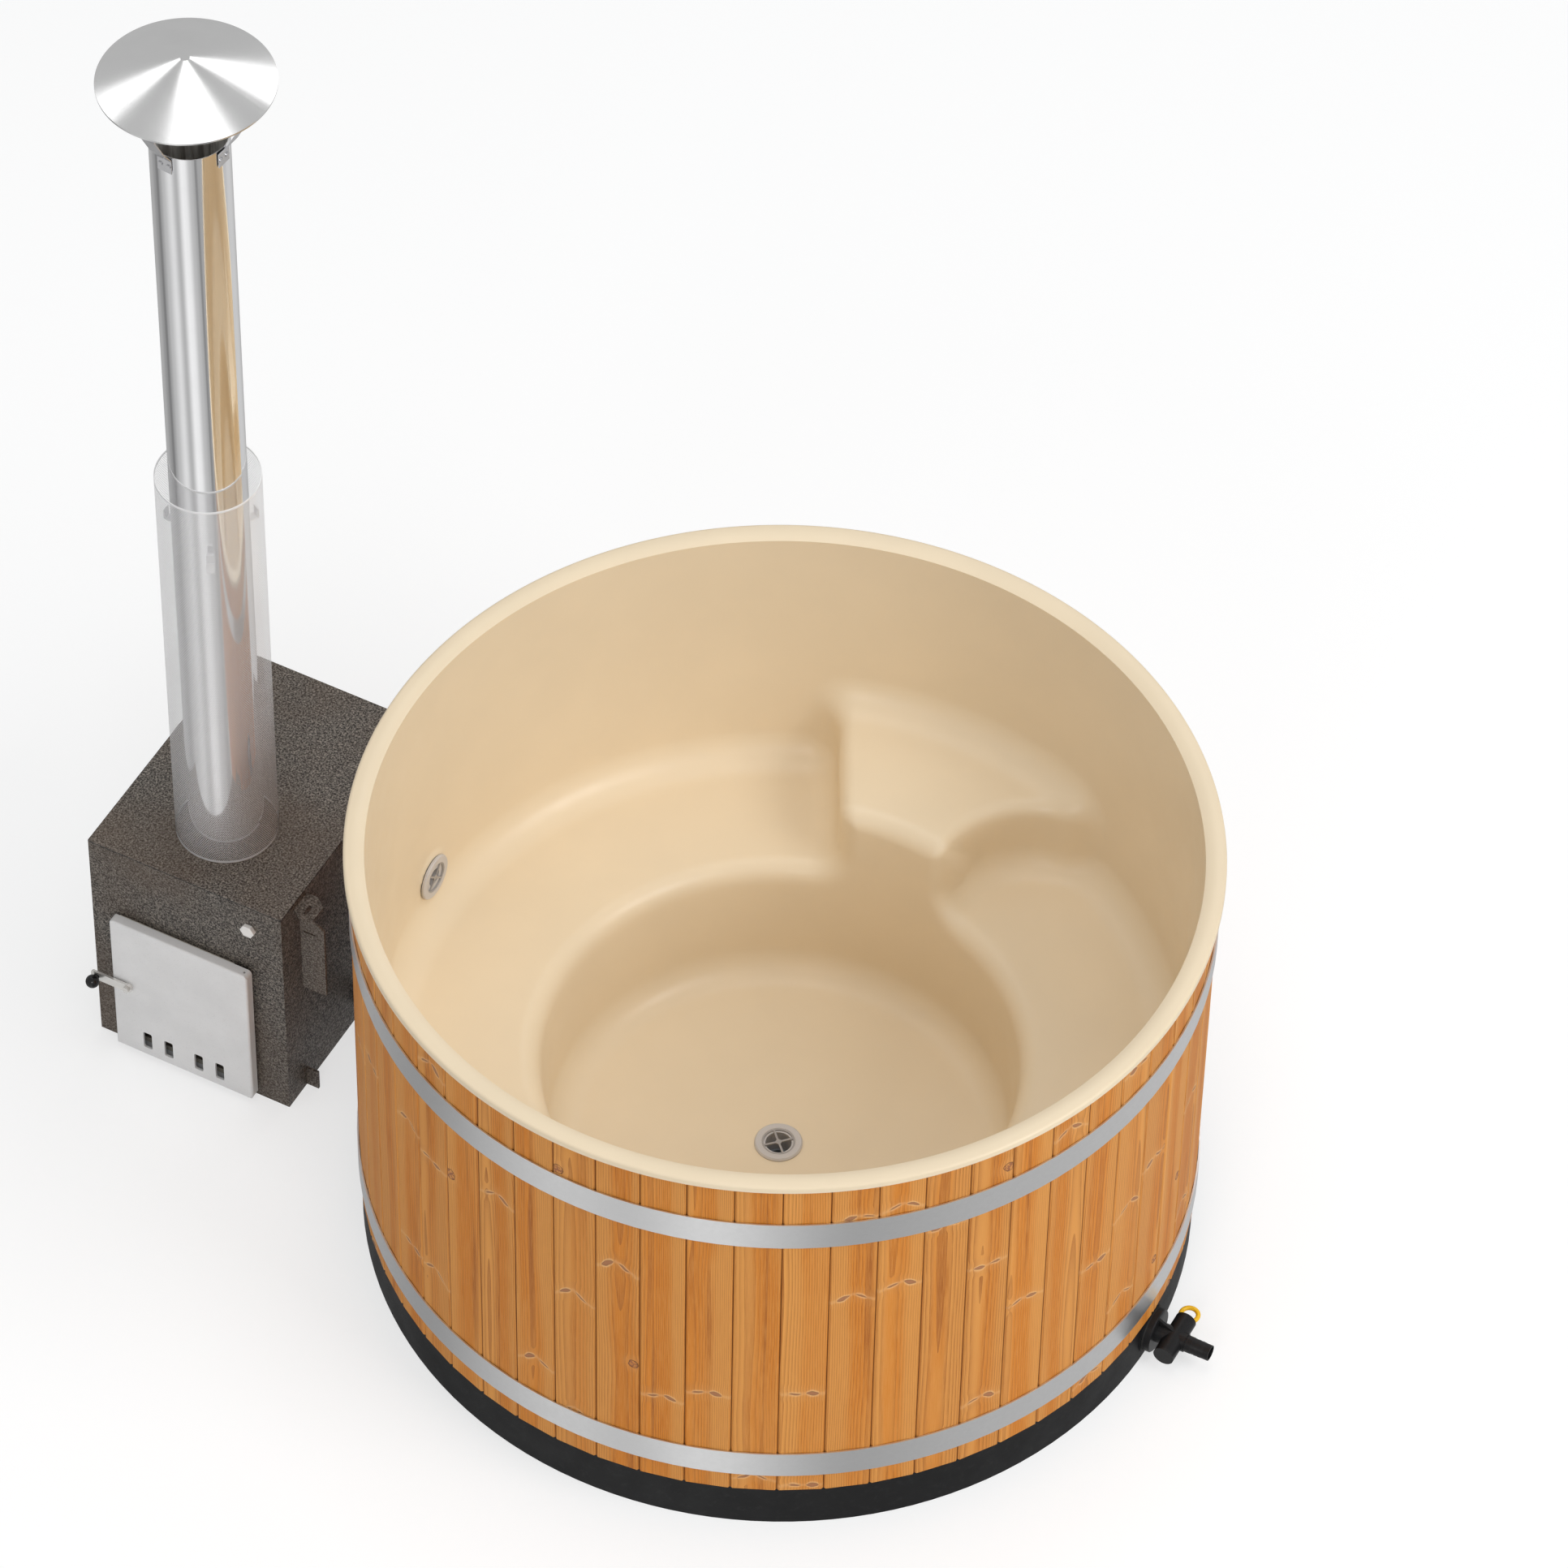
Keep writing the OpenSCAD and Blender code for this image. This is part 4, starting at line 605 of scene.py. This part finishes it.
def surface(name, rings):
    """One closed mesh from a grid of points [ring, column, xyz], joined both ways round."""
    ring_count, column_count, _ = rings.shape
    index = np.arange(ring_count * column_count).reshape(ring_count, column_count)
    right, up = np.roll(index, -1, 1), np.roll(index, -1, 0)
    corner = np.roll(right, -1, 0)
    faces = np.stack([index, right, corner, up], -1).reshape(-1, 4)
    mesh = bpy.data.meshes.new(name)
    mesh.from_pydata(rings.reshape(-1, 3), [], faces)
    mesh.validate()
    return place_object(name, mesh)


def rounded_path(corners, radii, step=0.001):
    """Points along a line whose corners are arcs, a step apart on the arcs.

    Each arc's centre lies on the corner's bisector, at the radius from both sides.
    """
    points = [np.array(corners[0], float)]
    for before, corner, after, radius in zip(corners, corners[1:], corners[2:], radii):
        before, corner, after = (np.array(p, float) for p in (before, corner, after))
        way_in = (corner - before) / np.linalg.norm(corner - before)
        way_out = (after - corner) / np.linalg.norm(after - corner)
        half = math.acos(way_in @ way_out) / 2
        start = corner - way_in * radius * math.tan(half)
        bisector = way_out - way_in
        centre = corner + bisector / np.linalg.norm(bisector) * radius / math.cos(half)
        spoke = start - centre
        side = way_in * radius
        angle = np.linspace(0, 2 * half, max(4, int(radius * 2 * half / step)))[:, None]
        points.extend(centre + spoke * np.cos(angle) + side * np.sin(angle))
    points.append(np.array(corners[-1], float))
    return np.array(points)


def marks(fine, gaps, whole):
    """Numbers from the first to the last of fine, a wished gap apart.

    gaps lists pairs of a place and the gap there, and whole makes their count a whole number.
    The number of gaps up to each place is the sum of the steps, each divided by its gap.
    """
    wish = np.interp(fine, *zip(*gaps))
    count = np.concatenate([[0], np.cumsum(np.diff(fine) / wish[1:])])
    return np.interp(np.linspace(0, count[-1], int(whole(count[-1])) + 1), count, fine)


def spaced(path, gaps):
    """The path's points again, with the wished gaps between them, listed by the way along it."""
    steps = np.linalg.norm(np.diff(path, axis=0), axis=1)
    way = np.concatenate([[0], np.cumsum(steps)])
    at = marks(np.linspace(0, way[-1], RING_STEPS), gaps, round)
    return np.stack([np.interp(at, way, path[:, k]) for k in (0, 1)], -1)


def revolved(outline, circle):
    """An outline of (radius, height) pairs, turned to every direction of the circle."""
    heights = np.broadcast_to(outline[:, None, 1:], (len(outline), len(circle), 1))
    return np.concatenate([outline[:, None, :1] * circle[None], heights], -1)


def inside_corner(first, second, radius):
    """Both spaces at once, their corner filled to the radius."""
    a, b = np.maximum(radius - first, 0), np.maximum(radius - second, 0)
    return np.maximum(radius, np.minimum(first, second)) - np.hypot(a, b)


def outside_corner(first, second, radius):
    """Either space, their corner rounded off to the radius."""
    return -inside_corner(-first, -second, radius)


def water_depth(points, s):
    """How far a point is from the bath's surface, positive in the open space.

    The foot well is a cone over a floor; the seat space lies above the seat, except where the
    step stands: beyond its flat side, outside its hollow round side and below its top. The well
    and the seat space are joined with a rounded nose, and the outer cone cuts both with a fillet.
    On the heater's side a flat pad round the fitting's hole stands in from the wall.
    """
    x, y, z = np.moveaxis(points, -1, 0)
    radius = np.hypot(x, y)
    well_slope = s.well_flare / (s.seat_height - s.floor_height)
    wall_slope = s.draft / (s.height - s.seat_height)
    well = (s.well_radius + well_slope * (z - s.floor_height) - radius) / math.hypot(1, well_slope)
    outer = (s.rim_radius - s.rim_width - s.draft + wall_slope * (z - s.seat_height) - radius) \
        / math.hypot(1, wall_slope)
    flat_side = s.step_side - x * math.cos(s.step_turn) - y * math.sin(s.step_turn)
    cup = s.cup_radius - np.hypot(x - s.cup_x, y - s.cup_y)
    open_side = outside_corner(cup, x - s.cup_x, s.step_nose)
    beside_step = outside_corner(flat_side, open_side, s.step_nose)
    clear_of_step = outside_corner(z - s.step_height, beside_step, s.step_nose)
    seat = inside_corner(z - s.seat_height, clear_of_step, s.step_fillet)
    foot = inside_corner(z - s.floor_height, well, s.well_fillet)
    inner = outside_corner(foot, seat, s.nose)
    room = inside_corner(inner, outer, s.seat_fillet)
    pad_face = s.rim_radius - s.rim_width - s.pad_depth \
        - s.draft * (s.height - s.return_height) / (s.height - s.seat_height)
    pad = outside_corner(x + pad_face, np.hypot(y, z - s.return_height) - s.pad_radius, PAD_EDGE)
    return np.where(x < PAD_SIDE, inside_corner(room, pad, PAD_FILLET), room)


def bath_surface(s):
    """The moulded bath as rings round the axis, from the drain hole up to the lip and back below.

    Each ring starts from one point of the plain bowl's outline. Rays run from a point on the
    axis above the rim through that point, turned to every column, to where water_depth is nought,
    so the same grid follows the seat, the step and the foot well. The underside is the same
    surface moved back by the sheet's thickness along its slope, and the rim is a turned outline.
    """
    wall_top = s.rim_radius - s.rim_width
    corners = [(s.drain_hole, s.floor_height), (s.well_radius, s.floor_height),
               (s.well_radius + s.well_flare, s.seat_height),
               (wall_top - s.draft, s.seat_height), (wall_top, s.height),
               (s.rim_radius, s.height), (s.rim_radius, s.height - s.lip)]
    outline = rounded_path(corners, [s.well_fillet, s.nose, s.seat_fillet, s.rim_edge,
                                     s.rim_edge])
    floor_run = s.well_radius - s.drain_hole
    well_run = floor_run + s.seat_height - s.floor_height
    seat_run = well_run + wall_top - s.draft - s.well_radius - s.well_flare
    step_rise = 0.28
    steep_end = seat_run + step_rise
    whole = seat_run + s.height - s.seat_height + s.rim_width + s.lip
    # the gap between rings at places along the outline: small where the surface bends
    rings = spaced(outline, [
        (0, 0.020), (floor_run - 0.10, 0.020), (floor_run - 0.04, 0.006), (floor_run, 0.006),
        (floor_run + 0.04, 0.015), (well_run - 0.05, 0.015), (well_run - 0.01, 0.005),
        (well_run, 0.006), (seat_run - 0.06, 0.007), (steep_end, 0.008), (steep_end + 0.05, 0.03),
        (whole - 0.14, 0.03), (whole - 0.08, 0.002), (whole, 0.0015)])

    # the columns lie close across the step, and round the wall's fitting at 180 degrees
    fitting, plain, step, fade = *np.radians([0.45, 1.1, 0.42]), 0.1
    low, fitting_low, step_low, step_high, fitting_high, high = np.radians(
        [-180, -174, 60, 116, 174, 180])
    turn = marks(np.linspace(-math.pi, math.pi, COLUMN_STEPS), [
        (low, fitting), (fitting_low, plain), (step_low - fade, plain), (step_low, step),
        (step_high, step), (step_high + fade, plain), (fitting_high, plain), (high, fitting)],
        int)[:-1]
    circle = np.stack([np.cos(turn), np.sin(turn)], -1)

    hair = 0.001
    bath_rows = np.argmax((rings[:, 1] > s.height - RIM_BAND) | (rings[:, 0] > wall_top - hair))
    eye = np.array([0, 0, s.height + EYE_RISE])
    ray = revolved(rings[:bath_rows], circle) - eye
    reach = np.linalg.norm(ray, axis=-1, keepdims=True)
    ray = ray / reach
    travel = np.full(reach.shape, MARCH_START)
    for _ in range(MARCH_STEPS):
        travel += MARCH_SHARE * water_depth(eye + ray * travel, s)[..., None]
    travel[0] = reach[0]
    skin = eye + ray * travel

    slope = np.stack([water_depth(skin + axis, s) - water_depth(skin - axis, s)
                      for axis in SLOPE_REACH * np.eye(3)], -1)
    slope /= np.linalg.norm(slope, axis=-1, keepdims=True)
    back = (skin - slope * s.wall)[::-UNDER_SHARE]
    back[-1] = skin[0] - np.array([0, 0, s.wall])

    lip_inside, rim_under, bevel, drop = s.rim_radius - s.wall, s.height - s.wall, 0.001, 0.03
    under = np.array([(lip_inside, s.height - s.lip), (lip_inside, rim_under - bevel),
                      (lip_inside - bevel, rim_under), (wall_top + s.wall, rim_under),
                      (wall_top + s.wall - bevel, s.height - drop)])
    return np.concatenate([skin, revolved(rings[bath_rows:], circle), revolved(under, circle),
                           back])


def cut_hole(piece, radius, start, end, height):
    """Takes a round hole along X out of a piece, and keeps the result as its mesh.

    The hole is a closed tube: a circle about Y = 0 at the height, at both its ends.
    """
    count = HOLE_SIDES
    turn = np.linspace(0, 2 * math.pi, count, endpoint=False)
    tube = np.empty((2, count, 3))
    tube[..., 0] = np.array([start, end])[:, None]
    tube[..., 1] = radius * np.cos(turn)
    tube[..., 2] = height + radius * np.sin(turn)
    sides = [(k, (k + 1) % count, count + (k + 1) % count, count + k) for k in range(count)]
    caps = [tuple(reversed(range(count))), tuple(range(count, 2 * count))]
    mesh = bpy.data.meshes.new("hole")
    mesh.from_pydata(tube.reshape(-1, 3), [], sides + caps)
    cutter = place_object("hole", mesh)
    knife = piece.modifiers.new("hole", "BOOLEAN")
    knife.operation, knife.object, knife.solver = "DIFFERENCE", cutter, "MANIFOLD"
    graph = bpy.context.evaluated_depsgraph_get()
    result = bpy.data.meshes.new_from_object(piece.evaluated_get(graph))
    piece.modifiers.clear()
    old, piece.data = piece.data, result
    result.name = piece.name
    bpy.data.meshes.remove(old)
    bpy.data.objects.remove(cutter)
    bpy.data.meshes.remove(mesh)


def dress(material, *names):
    """Gives CAD nodes one material."""
    for name in names:
        slots = NODES[name].material_slots
        if not slots:
            NODES[name].data.materials.append(material)
        for slot in slots:
            slot.material = material


# ---- studio ----

def lay_floor(studio):
    """A pale square floor that metal doesn't mirror, with a share of plain white for the camera."""
    half = studio.floor_size / 2
    mesh = bpy.data.meshes.new("studio_floor")
    mesh.from_pydata([(-half, -half, 0), (half, -half, 0), (half, half, 0), (-half, half, 0)],
                     [], [(0, 1, 2, 3)])
    floor = place_object("studio_floor", mesh)
    look = Finish("studio_floor", Roughness=0.9, Specular_IOR_Level=0)
    tint = look.noise(look.place, scale=0.2, detail=2)
    look.wear(Base_Color=look.blend(tint * 0.05, tuple(studio.floor), scaled(studio.floor, 0.97)))
    white = look.node("ShaderNodeEmission", {}, {"Strength": FLOOR_GLOW})
    seen = look.node("ShaderNodeLightPath", out="Is Camera Ray") * studio.lift
    mixed = look.node("ShaderNodeMixShader", {}, {0: seen, 1: Wire(look, look.shader.outputs[0]),
                                                  2: white})
    look.fill(look.tree.nodes["Material Output"].inputs["Surface"], mixed)
    mesh.materials.append(look.material)
    floor.visible_glossy = False


def soft_sky(studio):
    """White for the camera, a soft even light, and for metal a sky with bands below the horizon."""
    world = bpy.data.worlds.new("studio_world")
    world.use_nodes = True
    world.node_tree.nodes.clear()
    look = Nodes(world.node_tree)
    x, y, z = look.parts("XYZ", look.node("ShaderNodeTexCoord", out="Generated"))
    bands = look.node("ShaderNodeValToRGB", {}, {
        0: look.math("ARCTAN2", y, x) / (2 * math.pi) + 0.5})
    ramp = bands.socket.node.color_ramp
    ramp.interpolation = "EASE"
    while len(ramp.elements) < len(STUDIO_BANDS):
        ramp.elements.new(0.5)
    for stop, (degrees, level) in zip(ramp.elements, STUDIO_BANDS):
        stop.position, stop.color = degrees / 360 + 0.5, (level, level, level, 1)
    mirror = look.blend(look.smooth(z, -0.06, 0.0), bands, (studio.mirror,) * 3)
    camera, glossy, clear = (look.node("ShaderNodeLightPath", out="Is %s Ray" % kind)
                             for kind in ("Camera", "Glossy", "Transmission"))
    soft, card, white = (
        look.node("ShaderNodeBackground", {}, {"Color": tone, "Strength": strength})
        for tone, strength in (((1, 1, 1), studio.sky), (mirror, 1.0), ((1, 1, 1), 1.0)))
    lit = look.node("ShaderNodeMixShader", {}, {0: glossy, 1: soft, 2: card})
    shown = look.node("ShaderNodeMixShader", {}, {
        0: look.math("MAXIMUM", camera, clear), 1: lit, 2: white})
    look.node("ShaderNodeOutputWorld", {}, {"Surface": shown}, None)
    return world


def hang_lamp(name, place, side, power):
    """A square lamp that faces the foot of the tub's axis."""
    lamp = bpy.data.lights.new(name, "AREA")
    lamp.shape, lamp.size, lamp.energy = "SQUARE", side, power
    stand = place_object(name, lamp)
    stand.location = place
    aim = -stand.location.normalized()
    stand.rotation_euler = aim.to_track_quat("-Z", "Y").to_euler()
    return stand


def aim_camera(studio):
    """The camera at the photograph's place, with the user's focal length."""
    lens = bpy.data.cameras.new("camera")
    lens.lens, lens.sensor_width = studio.lens, CAMERA_SENSOR
    lens.clip_start, lens.clip_end = CAMERA_CLIP
    camera = place_object("camera", lens)
    back = [-value for value in CAMERA_AHEAD]
    camera.matrix_world = Matrix([
        *zip(CAMERA_RIGHT, CAMERA_UP, back, CAMERA_PLACE), (0, 0, 0, 1)])
    return camera


# ---- operators ----

class HOTTUB_OT_bath(bpy.types.Operator):
    """Build the moulded bath with its seat, step and foot well"""
    bl_idname = "hottub.bath"
    bl_label = "Moulded bath"

    def execute(self, context):
        shape = context.scene.hottub_bath
        piece = surface("moulded_bath", bath_surface(shape))
        wall_radius, outward, inward = shape.rim_radius - shape.rim_width, 0.02, 0.08
        cut_hole(piece, shape.return_hole, -wall_radius - outward, -wall_radius + inward,
                 shape.return_height)
        piece.data.shade_smooth()
        piece.data.set_sharp_from_angle(angle=SHARP)
        look = moulded("bath_plastic", tuple(context.scene.hottub_finishes.bath), grain=1500.0,
                       depth=0.00003, roughness=0.36, mottle=0.03)
        piece.data.materials.clear()
        piece.data.materials.append(look)
        piece.data.polygons.foreach_set("material_index", np.zeros(len(piece.data.polygons), "i"))
        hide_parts("liner")
        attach(piece, "tub")
        return {"FINISHED"}


class HOTTUB_OT_cladding(bpy.types.Operator):
    """Finish the staves, the hoops and what tightens them"""
    bl_idname = "hottub.cladding"
    bl_label = "Staves and hoops"

    def execute(self, context):
        tones = context.scene.hottub_finishes
        dress(stave_wood({"pale": tuple(tones.wood_pale), "mid": tuple(tones.wood_mid),
                          "dark": tuple(tones.wood_dark), "knot": tuple(tones.knot)}), "staves")
        dress(galvanised("hoop_zinc", srgb(236, 236, 236)), "upper_hoop", "lower_hoop")
        dress(metal("hoop_bolt_zinc", srgb(180, 181, 183), roughness=0.35), "hoop_bolts",
              "hoop_nuts")
        return {"FINISHED"}


class HOTTUB_OT_base(bpy.types.Operator):
    """Finish the base, its timbers and the insulation"""
    bl_idname = "hottub.base"
    bl_label = "Base"

    def execute(self, context):
        tones = context.scene.hottub_finishes
        dress(moulded("base_plastic", tuple(tones.base), grain=1300.0, roughness=0.54,
                      mottle=0.05, dust=0.01, shine=1.32), "base_tray")
        dress(sawn_timber("support_timber", srgb(203, 168, 122), srgb(170, 128, 84)), "supports")
        dress(foam("foam", srgb(233, 214, 150)), "insulation")
        return {"FINISHED"}


class HOTTUB_OT_fittings(bpy.types.Operator):
    """Finish the strainer, the pipes, the hoses and the drain valve"""
    bl_idname = "hottub.fittings"
    bl_label = "Fittings"

    def execute(self, context):
        tones = context.scene.hottub_finishes
        dress(moulded("fitting_grey", srgb(202, 198, 196), grain=1100.0, depth=0.00004,
                      roughness=0.34, mottle=0.05), "strainer_body", "return_fitting")
        dress(moulded("grille_grey", srgb(164, 160, 158), grain=1100.0, depth=0.00004,
                      roughness=0.34, mottle=0.05), "strainer_grille", "return_grille")
        dress(moulded("pipe_grey", srgb(148, 152, 156), grain=1100.0, depth=0.00006,
                      roughness=0.40, mottle=0.08), "drain_tee", "drain_pipe", "suction_pipe")
        dress(moulded("valve_black", srgb(32, 32, 33), grain=1200.0, depth=0.00004,
                      roughness=0.32, mottle=0.06, dust=0.01, shine=1.3),
              "valve_body", "suction_fitting")
        dress(moulded("cap_black", srgb(34, 34, 35), grain=1200.0, depth=0.00004,
                      roughness=0.32, mottle=0.06, dust=0.01, shine=1.35), "valve_end_cap")
        dress(moulded("nut_black", srgb(33, 33, 34), grain=1000.0, depth=0.00010,
                      roughness=0.44, mottle=0.12, dust=0.03),
              "strainer_nut", "valve_nut", "suction_nut", "return_nut")
        dress(moulded("piston_grey", srgb(120, 121, 124), grain=1200.0, depth=0.00005,
                      roughness=0.35, mottle=0.08), "drain_piston")
        dress(moulded("ring_yellow", tuple(tones.ring), grain=1200.0, depth=0.00005,
                      roughness=0.34, mottle=0.06), "pull_ring")
        dress(rubber("seal_rubber", srgb(34, 33, 32)), "strainer_gasket", "valve_gasket",
              "suction_gasket", "return_gasket", "piston_rings")
        dress(rubber("hose_rubber", srgb(28, 28, 29), roughness=0.5), "upper_hose", "lower_hose")
        dress(metal("clamp_steel", srgb(206, 206, 208), roughness=0.24), "hose_clamps")
        dress(metal("screw_steel", srgb(190, 190, 192)), "clamp_screws")
        return {"FINISHED"}


class HOTTUB_OT_heater(bpy.types.Operator):
    """Finish the heater's box, its firebox and what is fixed to it"""
    bl_idname = "hottub.heater"
    bl_label = "Heater"

    def execute(self, context):
        tones = context.scene.hottub_finishes
        # painted light: the top plate gets a paler copy of the heater paint, as if lit from above
        painted_light_share = 1.16
        dress(hammered_paint("heater_paint", tuple(tones.paint)), "heater_casing",
              "heater_base", "tool_hanger", "anchor_tab", "mouth_frame", "hinge_lugs")
        dress(hammered_paint("heater_top_paint_painted_light", scaled(tones.paint, painted_light_share)), "heater_top")
        dress(metal("boiler_steel", srgb(86, 82, 80), roughness=0.5, stain=0.3), "firebox",
              "heater_spigots")
        dress(cast_iron("grate_iron", srgb(58, 54, 52), depth=0.0005), "grate")
        dress(metal("plug_metal", srgb(246, 245, 242), roughness=0.26, stain=0.03, metallic=0.1),
              "hex_plug")
        return {"FINISHED"}


class HOTTUB_OT_chimney(bpy.types.Operator):
    """Finish the chimney, its guard and its cap"""
    bl_idname = "hottub.chimney"
    bl_label = "Chimney"

    def execute(self, context):
        dress(polished_pipe("flue_steel", srgb(250, 250, 251)), "chimney_pipe")
        dress(perforated_sheet("guard_steel", srgb(236, 235, 236)), "chimney_guard")
        dress(metal("cap_steel", srgb(232, 232, 232), roughness=0.19, hairs=(300.0, 300.0, 5.0),
                    depth=0.000008, stain=0.04), "chimney_cap")
        dress(metal("collar_steel", srgb(232, 232, 233), roughness=0.28, metallic=0.6),
              "flue_collar")
        dress(metal("leg_steel", srgb(216, 216, 218), roughness=0.24), "cap_legs", "cap_rivets")
        dress(metal("clip_steel", srgb(244, 244, 245), roughness=0.40, metallic=0.2),
              "guard_clips")
        return {"FINISHED"}


class HOTTUB_OT_door(bpy.types.Operator):
    """Finish the firebox door, its latch and its hinge"""
    bl_idname = "hottub.door"
    bl_label = "Door"

    def execute(self, context):
        dress(cast_iron("door_cast", srgb(242, 242, 242)), "door")
        dress(rope("door_rope", srgb(214, 208, 196)), "door_gasket")
        dress(metal("shield_steel", srgb(44, 38, 34), roughness=0.65, stain=0.3, metallic=0.3),
              "door_shield")
        dress(metal("pin_steel", srgb(170, 168, 166)), "hinge_pin")
        dress(metal("lever_steel", srgb(232, 230, 226), roughness=0.22, hairs=(900.0, 60.0, 60.0),
                    metallic=0.7), "latch_lever", "latch_washer", "latch_spindle")
        dress(moulded("knob_black", srgb(22, 22, 23), depth=0.00002, roughness=0.16, mottle=0.05),
              "ball_knob")
        return {"FINISHED"}


class HOTTUB_OT_studio(bpy.types.Operator):
    """Set the floor, the soft light and the camera"""
    bl_idname = "hottub.studio"
    bl_label = "Studio"

    def execute(self, context):
        scene, studio = context.scene, context.scene.hottub_studio
        lay_floor(studio)
        scene.world = soft_sky(studio)
        hang_lamp("key_lamp", *KEY_LAMP, studio.key)
        hang_lamp("overhead_lamp", *OVERHEAD_LAMP, studio.overhead).visible_glossy = False
        for name, place, side, share in SOFT_BOXES:
            hang_lamp(name, place, side, studio.boxes * share * side ** 2)
        scene.camera = aim_camera(studio)
        scene.view_settings.view_transform = "Standard"
        return {"FINISHED"}


class HOTTUB_PT_parts(bpy.types.Panel):
    """Lists the steps that finish the hot tub"""
    bl_idname = "HOTTUB_PT_parts"
    bl_label = "Hot tub"
    bl_space_type = "VIEW_3D"
    bl_region_type = "UI"
    bl_category = "Hot tub"

    def draw(self, context):
        for step in STEPS:
            self.layout.operator(step.bl_idname)
        for group in (context.scene.hottub_bath, context.scene.hottub_finishes,
                      context.scene.hottub_studio):
            for name in group.bl_rna.properties.keys():
                if name not in ("rna_type", "name"):
                    self.layout.prop(group, name)


STEPS = (HOTTUB_OT_bath, HOTTUB_OT_cladding, HOTTUB_OT_base, HOTTUB_OT_fittings,
         HOTTUB_OT_heater, HOTTUB_OT_chimney, HOTTUB_OT_door, HOTTUB_OT_studio)
GROUPS = {"hottub_bath": BathShape, "hottub_finishes": Finishes, "hottub_studio": Studio}


def register():
    for made in (*GROUPS.values(), *STEPS, HOTTUB_PT_parts):
        bpy.utils.register_class(made)
    for name, group in GROUPS.items():
        setattr(bpy.types.Scene, name, PointerProperty(type=group))


def unregister():
    for name in GROUPS:
        delattr(bpy.types.Scene, name)
    for made in reversed((*GROUPS.values(), *STEPS, HOTTUB_PT_parts)):
        bpy.utils.unregister_class(made)


def main():
    register()
    for step in STEPS:
        family, action = step.bl_idname.split(".")
        getattr(getattr(bpy.ops, family), action)()


if __name__ == "__main__":
    main()
